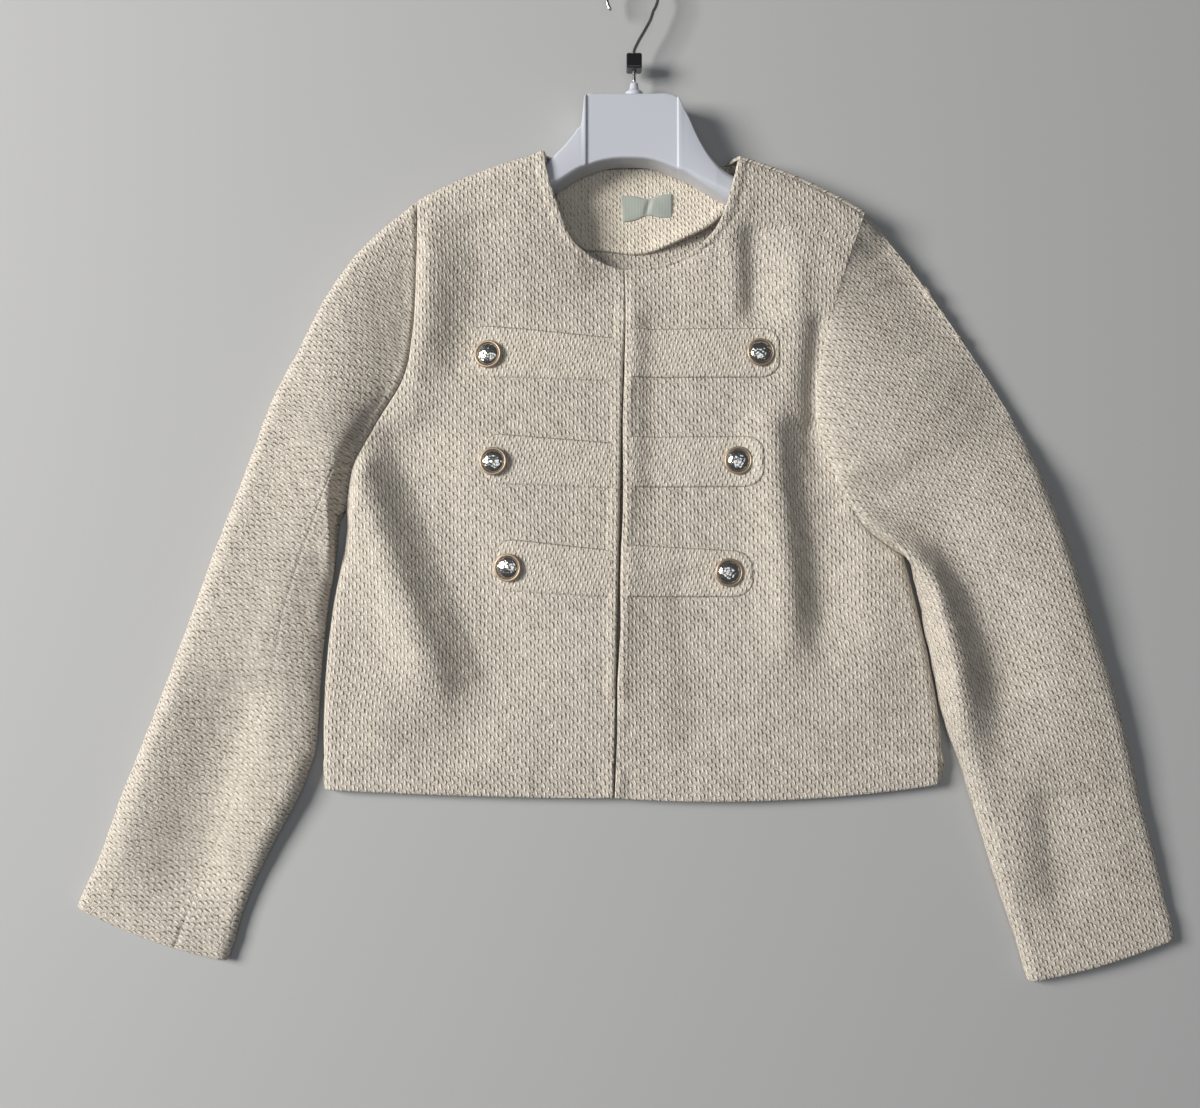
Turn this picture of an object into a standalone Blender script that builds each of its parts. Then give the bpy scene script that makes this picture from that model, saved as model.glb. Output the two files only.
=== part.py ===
"""A cropped, collarless tweed jacket, laid flat on its back with its hanger still in the shoulders.

Everything is worked out in millimetres and written to the meshes in metres. X runs from the
wearer's right side to the wearer's left, Y from the hem to the neck, and Z up from the surface
that the jacket lies on. Each piece that a maker would cut is one closed solid: an outer face
worked out from the tables below, and an inner one a cloth's thickness further in. Two pieces
that are sewn together share the same points along their seam, so that their rims stay parallel.
"""

import math
from collections import namedtuple

import bpy
import numpy as np
from mathutils import Vector
from mathutils.bvhtree import BVHTree

MM = 0.001
PART = "cropped_tweed_jacket"

# ---------------------------------------------------------------- driving sizes
CLOTH = 2.4            # wall of a tweed piece with its backing
SEAM_GAP = 0.3         # left between two pieces where they are sewn together
INNER_GAP = 3.2        # and on the inside, where their walls would run into each other
CORNER_WALL = 0.55     # share of the wall left at a corner where three pieces meet
SQUEEZED_LINES = 3     # lines of a grid next to its edge that move when the edge is drawn in,
SQUEEZE = 2.0          # and over how many gaps they do
FACING = 1.2           # wall of the back neck facing
TAB = 1.6              # wall of an applied tab
LABEL = 1.0            # wall of the sewn-in label

UNDERARM = 0.48        # where the underarm lies, from 0 at the hem to 1 at the shoulder
NECK_BASE = 0.86       # where the centre front ends and the neckline starts, likewise

SIDE_ROLL = 8.0        # width over which the cloth turns round the side of the body
ARMHOLE_DIP = 14.0     # width over which a front sinks to its armhole seam
SHOULDER_ROLL = 13.0   # width over which the cloth turns over the shoulder
SHOULDER_BOW = 4.0     # how far the shoulder line swells at its middle
SHOULDER_HALF = 16.4   # height of the shoulder's silhouette at the neck
SHOULDER_DROP = 1.4    # and how much lower it is at the sleeve
HEM_BOW = {"right": 1.5, "left": 7.0}

# ---------------------------------------------------------------- how finely each piece is built
SIDE_ROWS = 10         # rows from the hem to the underarm
ARM_ROWS = 14          # rows of a front, and points of its armhole, from underarm to shoulder
FRONT_COLUMNS = 16     # columns from the centre front to the side
ROLL_COLUMNS = 4       # columns of the back that go round the side
WRAP_ROWS = 4          # rows of the back that go round the shoulder
BACK_ROWS = 10         # rows of the back from the underarm to the shoulder's wrap
SLEEVE_ROWS = 16
HIND_SEAM = ARM_ROWS + WRAP_ROWS   # the hidden sleeve seam, counted round the armhole

# ---------------------------------------------------------------- outlines, seen from above
Point = namedtuple("Point", "at x y")

SIDE = {
    "right": [Point(0.00, -236.5, -256), Point(0.12, -238, -205), Point(0.20, -237, -172),
              Point(0.27, -234.5, -138), Point(0.335, -230.5, -107), Point(0.40, -224.5, -75),
              Point(0.455, -220.5, -48), Point(0.48, -221, -35)],
    "left": [Point(0.00, 247, -252), Point(0.03, 250, -240), Point(0.09, 249, -218),
             Point(0.15, 246, -190), Point(0.20, 242.5, -170), Point(0.26, 238.5, -147),
             Point(0.32, 234.5, -128), Point(0.40, 228, -101), Point(0.48, 221, -73)],
}
ARMHOLE = {
    "right": [Point(0.48, -221, -35), Point(0.55, -215.5, 0), Point(0.62, -199, 34),
              Point(0.69, -178.5, 68), Point(0.77, -170, 104), Point(0.86, -166.5, 146),
              Point(0.94, -165.5, 186), Point(1.00, -166.5, 211.5)],
    "left": [Point(0.48, 221, -73), Point(0.51, 205, -62), Point(0.547, 190, -49),
             Point(0.585, 178, -31), Point(0.62, 169, -12), Point(0.675, 158.5, 18),
             Point(0.73, 153.5, 48), Point(0.771, 155, 73), Point(0.805, 158.5, 92),
             Point(0.852, 164.5, 118), Point(0.923, 175, 157), Point(1.00, 189.5, 198.5)],
}
BACK_ARMHOLE = {
    "right": [Point(0.0, -221, -35), Point(0.2, -206, 8), Point(0.4, -188, 60),
              Point(0.62, -173, 118), Point(0.82, -166.5, 165), Point(1.0, -166.5, 198.5)],
    "left": [Point(0.0, 221, -73), Point(0.2, 211, -22), Point(0.4, 200, 36),
             Point(0.62, 193, 98), Point(0.82, 190.5, 150), Point(1.0, 192.0, 191.5)],
}
CENTRE_FRONT = [Point(0.00, -9.5, -262.5), Point(0.14, -8.2, -190), Point(0.28, -6.8, -128),
                Point(0.38, -5.6, -80), Point(0.48, -4.6, -34), Point(0.62, -3.2, 33),
                Point(0.72, -1.5, 84), Point(0.79, 0.2, 122), Point(0.86, -0.6, 157)]
NECKLINE = {
    "right": [Point(0.86, -0.6, 157), Point(0.893, -17, 162), Point(0.92, -32, 170),
              Point(0.945, -44, 182), Point(0.965, -53, 204), Point(0.983, -60, 226),
              Point(1.00, -64, 251)],
    "left": [Point(0.86, 2.6, 157.5), Point(0.893, 24, 161), Point(0.92, 44, 166.5),
             Point(0.945, 60, 175), Point(0.965, 73, 189), Point(0.983, 82, 212),
             Point(1.00, 89.5, 242)],
}

# the fronts meet edge to edge, and gape a little in the middle
Gape = namedtuple("Gape", "at width")
GAPE = [Gape(0.00, 1.2), Gape(0.14, 3.0), Gape(0.28, 3.8), Gape(0.48, 3.0), Gape(0.62, 2.2),
        Gape(0.79, 1.2), Gape(0.86, 3.2)]

# a side seam that has rolled on to the top of the jacket lies this far inside the silhouette
Roll = namedtuple("Roll", "at inset")
SIDE_SEAM = {
    "right": [Roll(0.0, 0.0), Roll(0.48, 0.0)],
    "left": [Roll(0.0, 0.8), Roll(0.06, 4.0), Roll(0.13, 5.8), Roll(0.20, 5.0), Roll(0.26, 2.4),
             Roll(0.336, 0.0), Roll(0.40, 0.0), Roll(0.48, 0.0)],
}
# and a shoulder seam likewise, the same all along
SHOULDER_SEAM = {"right": 0.0, "left": 5.5}

# ---------------------------------------------------------------- heights over the surface
Level = namedtuple("Level", "at z")
LYING_HEIGHT = [Level(-262, 10.0), Level(-200, 11.0), Level(-120, 12.0), Level(-40, 13.0),
                Level(40, 13.6), Level(110, 13.6), Level(157, 12.2), Level(255, 12.2)]
SIDE_EDGE = [Level(0.0, 4.4), Level(0.24, 5.0), Level(0.48, 6.0)]
ARMHOLE_EDGE = {
    "right": [Level(0.48, 6.0), Level(0.488, 8.2), Level(0.52, 8.8), Level(0.56, 9.6),
              Level(0.62, 10.5), Level(0.69, 12.0), Level(0.77, 14.0), Level(0.86, 18.0),
              Level(0.94, 24.5), Level(1.0, 27.0)],
    "left": [Level(0.48, 6.0), Level(0.488, 8.2), Level(0.52, 8.6), Level(0.56, 9.0),
             Level(0.62, 9.8), Level(0.70, 11.5), Level(0.771, 13.5), Level(0.83, 16.5),
             Level(0.90, 22.5), Level(0.95, 26.5), Level(1.0, 28.0)],
}
NECK_LIFT = 21.4       # how much higher the cloth lies over the hanger at the neck
ARM_LIFT = 16.0        # and at the sleeve
LIFT_FLAT = 34.0       # the hanger's own depth below the shoulder line
LIFT_FALL = 105.0      # length over which the cloth comes down from it
LIFT_INSIDE = 12.0     # half the width at the middle that the hanger doesn't lift
LIFT_OUTSIDE = 56.0    # and where it lifts in full
NECK_MIDDLE = 12.0     # X of the middle of the neck

Fold = namedtuple("Fold", "piece x0 y0 x1 y1 width depth")
FOLDS = [
    # troughs have a negative depth
    Fold("front", -140, 190, -140, 125, 19, -3.4),
    Fold("front", -168, 0, -150, -90, 17, -3.4),
    Fold("front", -150, -90, -132, -165, 17, -3.0),
    Fold("front", -199, -60, -207, -150, 20, 2.6),
    Fold("front", 93, 184, 96, 135, 12, -4.4),
    Fold("front", 143, 5, 148, -60, 13, -4.0),
    Fold("front", 148, -60, 147, -140, 15, -3.4),
    Fold("front", 184, -110, 190, -200, 30, 2.0),
    Fold("front", -58, -120, -60, -220, 42, -1.2),
    Fold("front", 60, -130, 62, -225, 34, -1.2),
    Fold("right sleeve", -262, 20, -300, -120, 20, -2.2),
    Fold("right sleeve", -330, -150, -352, -250, 26, -2.6),
    Fold("right sleeve", -214, 120, -236, 40, 26, 2.0),
    Fold("left sleeve", 188, 15, 218, -44, 15, -3.0),
    Fold("left sleeve", 218, -44, 254, -123, 17, -5.0),
    Fold("left sleeve", 254, -123, 292, -270, 18, -4.0),
    Fold("left sleeve", 330, -40, 356, -130, 24, 1.8),
]

# ---------------------------------------------------------------- sleeves
# outer and inner are the two edges seen from above, top is the height of the middle, roll the
# width over which it turns down at its edges, and seam where the forearm seam lies, counted
# from the inner edge in the armhole's points
Section = namedtuple("Section", "at outer_x outer_y inner_x inner_y top roll seam")
SLEEVE = {
    "right": [Section(0.00, -166.5, 211.5, -221.0, -35, 24.0, 13, 4.0),
              Section(0.09, -209, 175, -225.5, -46, 26.0, 16, 4.5),
              Section(0.18, -240, 133.5, -228.3, -62, 26.0, 17, 5.0),
              Section(0.25, -260.5, 93, -229.5, -78, 25.0, 17, 5.1),
              Section(0.32, -281, 53, -231.8, -93, 24.0, 16, 5.1),
              Section(0.39, -295.5, 12.6, -234.4, -108, 23.5, 16, 5.3),
              Section(0.46, -310, -27.5, -236.6, -128, 23.0, 15, 5.5),
              Section(0.53, -325, -67.3, -238.6, -150, 22.5, 15, 5.6),
              Section(0.60, -338.5, -107, -240.2, -174, 22.0, 15, 5.5),
              Section(0.67, -352.3, -146.4, -241.5, -200, 21.0, 14, 5.6),
              Section(0.74, -366.5, -185.7, -244.5, -228, 20.0, 14, 6.0),
              Section(0.80, -381.6, -224.8, -256, -260, 18.0, 13, 5.8),
              Section(0.87, -396.7, -263.8, -275, -296, 15.5, 12, 5.5),
              Section(0.93, -410, -302.6, -292.5, -333, 12.5, 10, 5.5),
              Section(1.00, -428, -347, -311, -388, 10.4, 8, 5.5)],
    "left": [Section(0.00, 189.5, 198.5, 221, -73, 25.0, 13, -2),
             Section(0.08, 215.8, 172.5, 223.5, -80, 27.0, 16, -2),
             Section(0.16, 246.4, 133.6, 226.5, -90, 28.0, 17, -2),
             Section(0.235, 274, 93.2, 229.8, -101, 28.0, 17, -2),
             Section(0.31, 299.1, 52.9, 233.5, -114, 27.5, 17, -2),
             Section(0.385, 321.4, 12.6, 237.5, -129, 27.0, 16, -2),
             Section(0.455, 338, -27.5, 241.5, -147, 26.5, 16, -2),
             Section(0.525, 352.1, -67.3, 246, -168, 25.5, 16, -2),
             Section(0.595, 363.8, -107, 250, -190, 24.0, 15, -2),
             Section(0.665, 375.5, -146.4, 255.5, -214, 22.5, 15, -2),
             Section(0.735, 386.7, -185.7, 262.5, -236, 21.0, 14, -2),
             Section(0.80, 395.8, -224.8, 270, -262, 19.0, 13, -2),
             Section(0.865, 403.8, -263.8, 280, -295, 16.5, 12, -2),
             Section(0.93, 413.7, -302.6, 290.5, -331, 14.0, 10, -2),
             Section(0.97, 421.5, -338, 301.5, -364, 12.0, 9, -2),
             Section(1.00, 428, -371, 314, -404, 11.0, 8, -2)],
}
CUFF_BOW = {"right": 4.0, "left": 3.0}   # how far a cuff's edge swells past a straight line
EDGE_SHARE = 0.38      # height of a sleeve's side edge, as a share of its height there
CROWN = 0.86           # height of a sleeve's top just inside its rolled edges, likewise
HEAD_SPREAD = 0.30     # share of the sleeve's length that takes up the armhole's curve
HEAD_RISE = 0.24       # and that over which the head rises from its seam
HEAD_PUSH = 4.0        # how far the rising head leans back from its seam
HEAD_STEEPNESS = {"right": 0.1, "left": 0.85}   # 0 for a soft start of that rise, 1 for a steep one

# ---------------------------------------------------------------- what is sewn and set on
Tab = namedtuple("Tab", "name side inner outer top_in top_out low_in low_out")
TABS = [
    Tab("tab_right_top", "right", -3.5, -124, 101.5, 113.8, 66.6, 71.2),
    Tab("tab_right_middle", "right", -6.2, -113.5, 17.5, 25.9, -19.0, -14.7),
    Tab("tab_right_bottom", "right", -8.0, -102.8, -68.0, -57.5, -105.6, -99.3),
    Tab("tab_left_top", "left", 3.4, 123, 109.6, 109.8, 69.8, 69.6),
    Tab("tab_left_middle", "left", 1.6, 109.2, 22.7, 22.7, -17.9, -17.9),
    Tab("tab_left_bottom", "left", -0.4, 100.6, -63.2, -68.5, -104.8, -104.8),
]
TAB_CORNER = 15.0
TAB_CLEARANCE = 0.45   # a tab's flat faces bridge the front's, so they stand this far off it

Button = namedtuple("Button", "name side x y")
BUTTONS = [
    Button("button_right_top", "right", -109.1, 88.8),
    Button("button_right_middle", "right", -104.4, 2.6),
    Button("button_right_bottom", "right", -92.7, -81.5),
    Button("button_left_top", "left", 107.7, 89.6),
    Button("button_left_middle", "left", 89.2, 3.0),
    Button("button_left_bottom", "left", 81.6, -85.4),
]
RIM_RADIUS = 11.2
RIM_HOLE = 9.2
DOME_RADIUS = 8.8
DOME_HEIGHT = 5.2
# half sections of a button's rim and of its dome, as radius and height
RIM_SECTION = [(RIM_HOLE, 0.2), (RIM_RADIUS - 0.3, 0.2), (RIM_RADIUS, 1.4), (10.3, 2.7),
               (RIM_HOLE, 2.2)]
DOME_SECTION = [(0, 0.0), (DOME_RADIUS, 0.0), (DOME_RADIUS, 1.6), (DOME_RADIUS - 1.2, 3.2),
                (5.6, DOME_HEIGHT - 0.7), (2.9, DOME_HEIGHT), (0, DOME_HEIGHT + 0.1)]
BUTTON_CLEARANCE = 0.6   # a button stands this far off its tab, which isn't flat
BUTTON_REACH = 4.0       # it leans as the front does over this distance either way

FACING_LOW = [Point(0.0, -56, 200), Point(0.16, -35.4, 177.7), Point(0.3, -17.6, 175.2),
              Point(0.52, 15.6, 172.7), Point(0.68, 38.2, 179.8), Point(0.86, 66.4, 192.3),
              Point(1.0, 78, 216)]
FACING_HIGH = [Point(0.0, -55, 234), Point(0.3, -24, 242), Point(0.5, 8, 243),
               Point(0.8, 48, 242), Point(1.0, 73, 230)]
LABEL_CORNERS = ((-3, 220.6), (38.4, 222.7), (38.3, 203.2), (-1.4, 199.1))
LABEL_WAIST = 2.4      # how much narrower the label is at its middle

# ---------------------------------------------------------------- hanger
Slice = namedtuple("Slice", "x low high top corner")
HANGER = [
    Slice(-124, 192, 213, 20.5, 6), Slice(-121.5, 188, 219, 23.5, 8),
    Slice(-116, 188, 223.5, 25.0, 9.5), Slice(-102, 195, 231, 26.4, 9.5),
    Slice(-84, 204.5, 237.0, 28.2, 9), Slice(-70, 212, 239.4, 29.2, 8),
    Slice(-62.8, 216.5, 240.6, 29.7, 7), Slice(-54, 222, 248.6, 30, 5),
    Slice(-46.2, 227.5, 256.3, 30, 4), Slice(-38, 233, 267.5, 30, 3.5),
    Slice(-34.3, 235.2, 275, 30, 3), Slice(-32.8, 235.8, 291, 30, 2.5),
    Slice(-31.4, 236.4, 294.6, 29.9, 2), Slice(-30.2, 236.8, 295.6, 28.4, 2),
    Slice(-22, 240, 296.2, 28.4, 2), Slice(-10, 242.6, 296.2, 28.4, 2),
    Slice(6, 243.3, 296.2, 28.4, 2), Slice(22, 241.8, 296.2, 28.4, 2),
    Slice(34, 237.8, 296.2, 28.4, 2), Slice(41.2, 234.6, 293.8, 28.4, 2),
    Slice(42.4, 234.1, 292.7, 29.9, 2), Slice(44.5, 233, 289.5, 30, 2.5),
    Slice(47, 231.8, 283.5, 30, 3), Slice(50, 230.2, 278.3, 30, 3.5),
    Slice(54.5, 227.5, 268, 30, 4), Slice(59.3, 224.5, 257.9, 30, 4),
    Slice(65.5, 220.5, 248, 30, 5), Slice(72, 216.5, 240.1, 30, 6),
    Slice(84.5, 208.5, 231.5, 29.0, 8), Slice(100, 199, 229.5, 28.2, 9.5),
    Slice(120, 192, 224.5, 27.2, 9.5), Slice(136, 186, 218.5, 26.2, 9.5),
    Slice(147, 183, 214, 25.4, 9.5), Slice(152, 184.5, 209.5, 23.4, 8),
    Slice(154, 188, 204, 20.5, 6),
]
HANGER_BOTTOM = 4.6
HANGER_TOP = 296.2     # Y of its upper edge, where the hook goes in
HOOK_X = 7.5
HOOK_Z = 15.5
WIRE_RADIUS = 1.5
COLLAR_LENGTH = 12.8
# half section of the hook's collar, as radius and distance from the hanger's edge
COLLAR_SECTION = [(0, 0), (7.4, 0), (7.4, 5.0), (4.4, 6.4), (3.2, COLLAR_LENGTH),
                  (0, COLLAR_LENGTH)]
# the wire bends aside above the marker before it turns into the hook's round
HOOK_NECK = [(HOOK_X, 336.0), (10.2, 342.4), (16.4, 353.7), (21.6, 364.2)]
HOOK_CENTRE = (6.2, 381.6)
HOOK_RADIUS = 20.76
HOOK_SWEEP = (-35, 214)  # angles at which the round starts and ends
MARKER = 12.5
MARKER_Y = 326.2
MARKER_CORNER = 1.2


# ---------------------------------------------------------------- curves through the tables
def smooth_curve(xs, ys, x):
    """Cubic curve through the points, its slope at each one the mean of its neighbours'."""
    xs = np.asarray(xs, float)
    ys = np.asarray(ys, float)
    steps = np.diff(ys) / np.diff(xs)
    slope = np.empty_like(ys)
    slope[0] = steps[0]
    slope[-1] = steps[-1]
    before = np.diff(xs)[:-1]
    after = np.diff(xs)[1:]
    slope[1:-1] = (steps[:-1] * after + steps[1:] * before) / (before + after)
    x = np.clip(np.asarray(x, float), xs[0], xs[-1])
    i = np.clip(np.searchsorted(xs, x, side="right") - 1, 0, len(xs) - 2)
    width = xs[i + 1] - xs[i]
    t = (x - xs[i]) / width
    return ((1 + 2 * t) * (1 - t) ** 2 * ys[i] + t * (1 - t) ** 2 * width * slope[i]
            + t * t * (3 - 2 * t) * ys[i + 1] + t * t * (t - 1) * width * slope[i + 1])


def read(table, column, at):
    """A table's column at the given places along its first one."""
    return smooth_curve([row.at for row in table], [getattr(row, column) for row in table], at)


def rise(distance, width):
    """0 at an edge and 1 a width away from it, along a quarter circle."""
    t = np.clip(distance / width, 0, 1)
    return np.sqrt(1 - (1 - t) ** 2)


def ease(t):
    """0 to 1 with level ends."""
    t = np.clip(t, 0, 1)
    return t * t * (3 - 2 * t)


def mix(a, b, share):
    return a + (b - a) * share


def outline(lower, upper, split, at):
    """Points along an edge that has a corner at split, as two arrays X and Y."""
    at = np.asarray(at, float)
    x = np.where(at <= split, read(lower, "x", at), read(upper, "x", at))
    y = np.where(at <= split, read(lower, "y", at), read(upper, "y", at))
    return x, y


def edge_height(side, v):
    """Height of a front's outer edge, up the side seam and the armhole."""
    return np.where(v <= UNDERARM, read(SIDE_EDGE, "z", v), read(ARMHOLE_EDGE[side], "z", v))


def side_inset(side, v):
    """How far inside the silhouette the side seam lies; the armhole has no such roll."""
    return np.where(v <= UNDERARM, np.maximum(0, read(SIDE_SEAM[side], "inset", v)), 0)


def crowded(count):
    """Shares from 0 to 1, closer together at both ends."""
    return 0.5 * (1 - np.cos(math.pi * np.arange(count + 1) / count))


# ---------------------------------------------------------------- stations of the pieces
ARM_SHARES = crowded(ARM_ROWS)
CORNER = int(np.argmin(np.abs(ARM_SHARES - (NECK_BASE - UNDERARM) / (1 - UNDERARM))))
ARM_SHARES[CORNER] = (NECK_BASE - UNDERARM) / (1 - UNDERARM)
SIDE_SHARES = np.arange(SIDE_ROWS + 1) / SIDE_ROWS
FRONT_V = np.concatenate([UNDERARM * SIDE_SHARES[:-1], UNDERARM + (1 - UNDERARM) * ARM_SHARES])
FRONT_U = 1 - (1 - np.arange(FRONT_COLUMNS + 1) / FRONT_COLUMNS) ** 1.8
BACK_SHARES = (np.arange(BACK_ROWS + 1) / BACK_ROWS) ** 1.5
NECK_SHARES = np.array([0.04, 0.09, 0.3, 0.7, 0.91, 0.96])


# ---------------------------------------------------------------- shape of the fronts
def shoulder_line(side):
    """Neck end and sleeve end of a shoulder's silhouette, and the direction away from the body."""
    neck = NECKLINE[side][-1]
    arm = ARMHOLE[side][-1]
    run = np.array([arm.x - neck.x, arm.y - neck.y], float)
    away = np.array([-run[1], run[0]]) / np.hypot(*run)
    away *= math.copysign(1, away[1])
    shift = SHOULDER_SEAM[side] * away
    return np.array([neck.x, neck.y]) + shift, np.array([arm.x, arm.y]) + shift, away


def below_shoulder(side, x, y):
    """Distance of a point from the shoulder's silhouette, and its share of the way to the sleeve."""
    neck, arm, away = shoulder_line(side)
    run = arm - neck
    share = np.clip(((x - neck[0]) * run[0] + (y - neck[1]) * run[1]) / (run @ run), 0, 1)
    below = -((x - neck[0]) * away[0] + (y - neck[1]) * away[1])
    return below + SHOULDER_BOW * 4 * share * (1 - share), share


def fold_height(piece, x, y):
    """What the folds of a piece add to its height: a soft hump or hollow along each line."""
    total = np.zeros(np.broadcast(x, y).shape)
    for fold in FOLDS:
        if fold.piece != piece:
            continue
        run = np.array([fold.x1 - fold.x0, fold.y1 - fold.y0], float)
        t = np.clip(((x - fold.x0) * run[0] + (y - fold.y0) * run[1]) / (run @ run), 0, 1)
        off = np.hypot(x - fold.x0 - t * run[0], y - fold.y0 - t * run[1])
        total = total + fold.depth * np.exp(-(off / fold.width) ** 2)
    return total


def body_height(side, x, y):
    """Height of a front's outer face: how it lies, what the hanger lifts, and its folds."""
    below, share = below_shoulder(side, x, y)
    fall = np.clip((below - LIFT_FLAT) / LIFT_FALL, 0, 1)
    aside = ease((np.abs(x - NECK_MIDDLE) - LIFT_INSIDE) / (LIFT_OUTSIDE - LIFT_INSIDE))
    lift = mix(NECK_LIFT, ARM_LIFT, share) * aside * 0.5 * (1 + np.cos(math.pi * fall))
    return read(LYING_HEIGHT, "z", y) + lift + fold_height("front", x, y)


def front_before_shoulder(side, u, v):
    """A front's outer face before its shoulder is rolled: u from centre to side, v from hem up."""
    centre_x, centre_y = outline(CENTRE_FRONT, NECKLINE[side], NECK_BASE, v)
    if side == "left":
        gape = read(GAPE, "width", np.minimum(v, NECK_BASE))
        centre_x = centre_x + np.where(v <= NECK_BASE, gape, 0)
    side_x, side_y = outline(SIDE[side], ARMHOLE[side], UNDERARM, v)
    inset = side_inset(side, v)
    seam_x = side_x - inset * np.sign(side_x)
    x = mix(centre_x, seam_x, u)
    bow = 4 * u * (1 - u)
    y = mix(centre_y, side_y, u) - HEM_BOW[side] * bow * (1 - ease(v / UNDERARM))
    _, _, away = shoulder_line(side)
    swell = SHOULDER_BOW * bow * ease((v - NECK_BASE) / (1 - NECK_BASE))
    x = x + swell * away[0]
    y = y + swell * away[1]
    height = body_height(side, x, y)
    edge = edge_height(side, v)
    roll = np.where(v <= UNDERARM, SIDE_ROLL, ARMHOLE_DIP)
    z = mix(edge, height, rise((1 - u) * np.abs(seam_x - centre_x) + inset, roll))
    return x, y, z


def front_surface(side, u, v):
    """The same with the shoulder rolled down to its silhouette."""
    u, v = np.broadcast_arrays(u, v)
    x, y, z = front_before_shoulder(side, u, v)
    below, share = below_shoulder(side, x, y)
    half = SHOULDER_HALF - SHOULDER_DROP * share
    z = mix(half, z, rise(below, SHOULDER_ROLL))
    return np.stack([x, y, z], -1)


# ---------------------------------------------------------------- shape of the back
def back_seam_row():
    """The back's top edge from the right sleeve over the neck to the left sleeve.

    Gives, for each column, its silhouette point, the direction away from the body, the heights
    that the wrap starts from and ends at, the angle at which it ends, and how much of it is left.
    """
    columns = []
    for side, order in (("right", FRONT_U[::-1]), ("left", FRONT_U)):
        x, y, z = front_before_shoulder(side, order, np.ones_like(order))
        _, _, away = shoulder_line(side)
        _, share = below_shoulder(side, x, y)
        half = SHOULDER_HALF - SHOULDER_DROP * share
        inset = SHOULDER_SEAM[side]
        angle = math.acos(1 - inset / SHOULDER_ROLL)
        columns.append(np.stack([x + inset * away[0], y + inset * away[1],
                                 np.full_like(x, away[0]), np.full_like(x, away[1]),
                                 half, z, np.full_like(x, angle), np.ones_like(x)], -1))
    right, left = columns
    share = NECK_SHARES[:, None]
    neck = mix(right[-1], left[0], share)
    neck[:, 1] -= 4.0 * np.sin(math.pi * NECK_SHARES)
    neck[:, 2] *= 0.3
    stand = 1 - ease(np.minimum(NECK_SHARES, 1 - NECK_SHARES) / 0.09)
    neck[:, 6] = left[0, 6] * np.where(NECK_SHARES > 0.5, stand, 0)
    neck[:, 7] = stand
    return np.concatenate([right, neck, left])


def back_surface():
    """Outer face of the back, columns from the wearer's right to left, rows from the hem up."""
    top = back_seam_row()
    right_count = len(FRONT_U)
    silhouette = top[:, 0:2]
    away = top[:, 2:4]
    contact = silhouette - SHOULDER_ROLL * away
    first = contact[right_count - 1, 0]
    last = contact[-right_count, 0]

    def spread(x_right, x_left, stations):
        """X of every column of a row that runs between the two given ends."""
        right_part = mix(first, x_right, stations[::-1])
        left_part = mix(last, x_left, stations)
        return np.concatenate([right_part, mix(first, last, NECK_SHARES), left_part])

    rows = []
    columns_share = np.concatenate([0.5 * (1 - FRONT_U[::-1]), np.full(len(NECK_SHARES), 0.5),
                                    0.5 + 0.5 * FRONT_U])
    for share in SIDE_SHARES:
        rows.append(back_side_row(UNDERARM * share, spread, columns_share))
    underarm = rows[-1]
    end_right = np.array([BACK_ARMHOLE["right"][-1].x, BACK_ARMHOLE["right"][-1].y], float)
    end_left = np.array([BACK_ARMHOLE["left"][-1].x, BACK_ARMHOLE["left"][-1].y], float)
    roof = contact - mix(end_right, end_left, columns_share[:, None])
    for share in BACK_SHARES[1:]:
        x_right = read(BACK_ARMHOLE["right"], "x", share)
        x_left = read(BACK_ARMHOLE["left"], "x", share)
        y_right = read(BACK_ARMHOLE["right"], "y", share)
        y_left = read(BACK_ARMHOLE["left"], "y", share)
        x = spread(x_right, x_left, FRONT_U)
        straight = spread(end_right[0], end_left[0], FRONT_U)
        x = x + (contact[:, 0] - straight) * share ** 2
        y = mix(y_right, y_left, columns_share) + roof[:, 1] * share ** 2
        fade = 0.12 * (1 - ease(share / 0.16))
        keep = fade * (np.abs(columns_share - 0.5) > 0.3)
        z = underarm[:, 2] * keep
        flat_x = underarm[:, 0]
        sideways = spread(flat_x[0], flat_x[-1], FRONT_U)
        x = x + (flat_x - sideways) * keep
        rows.append(np.stack([x, y, z], -1))
    for k in range(1, WRAP_ROWS + 1):
        rows.append(back_wrap_row(top, k / WRAP_ROWS))
    return np.stack(rows, 0)


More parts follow.
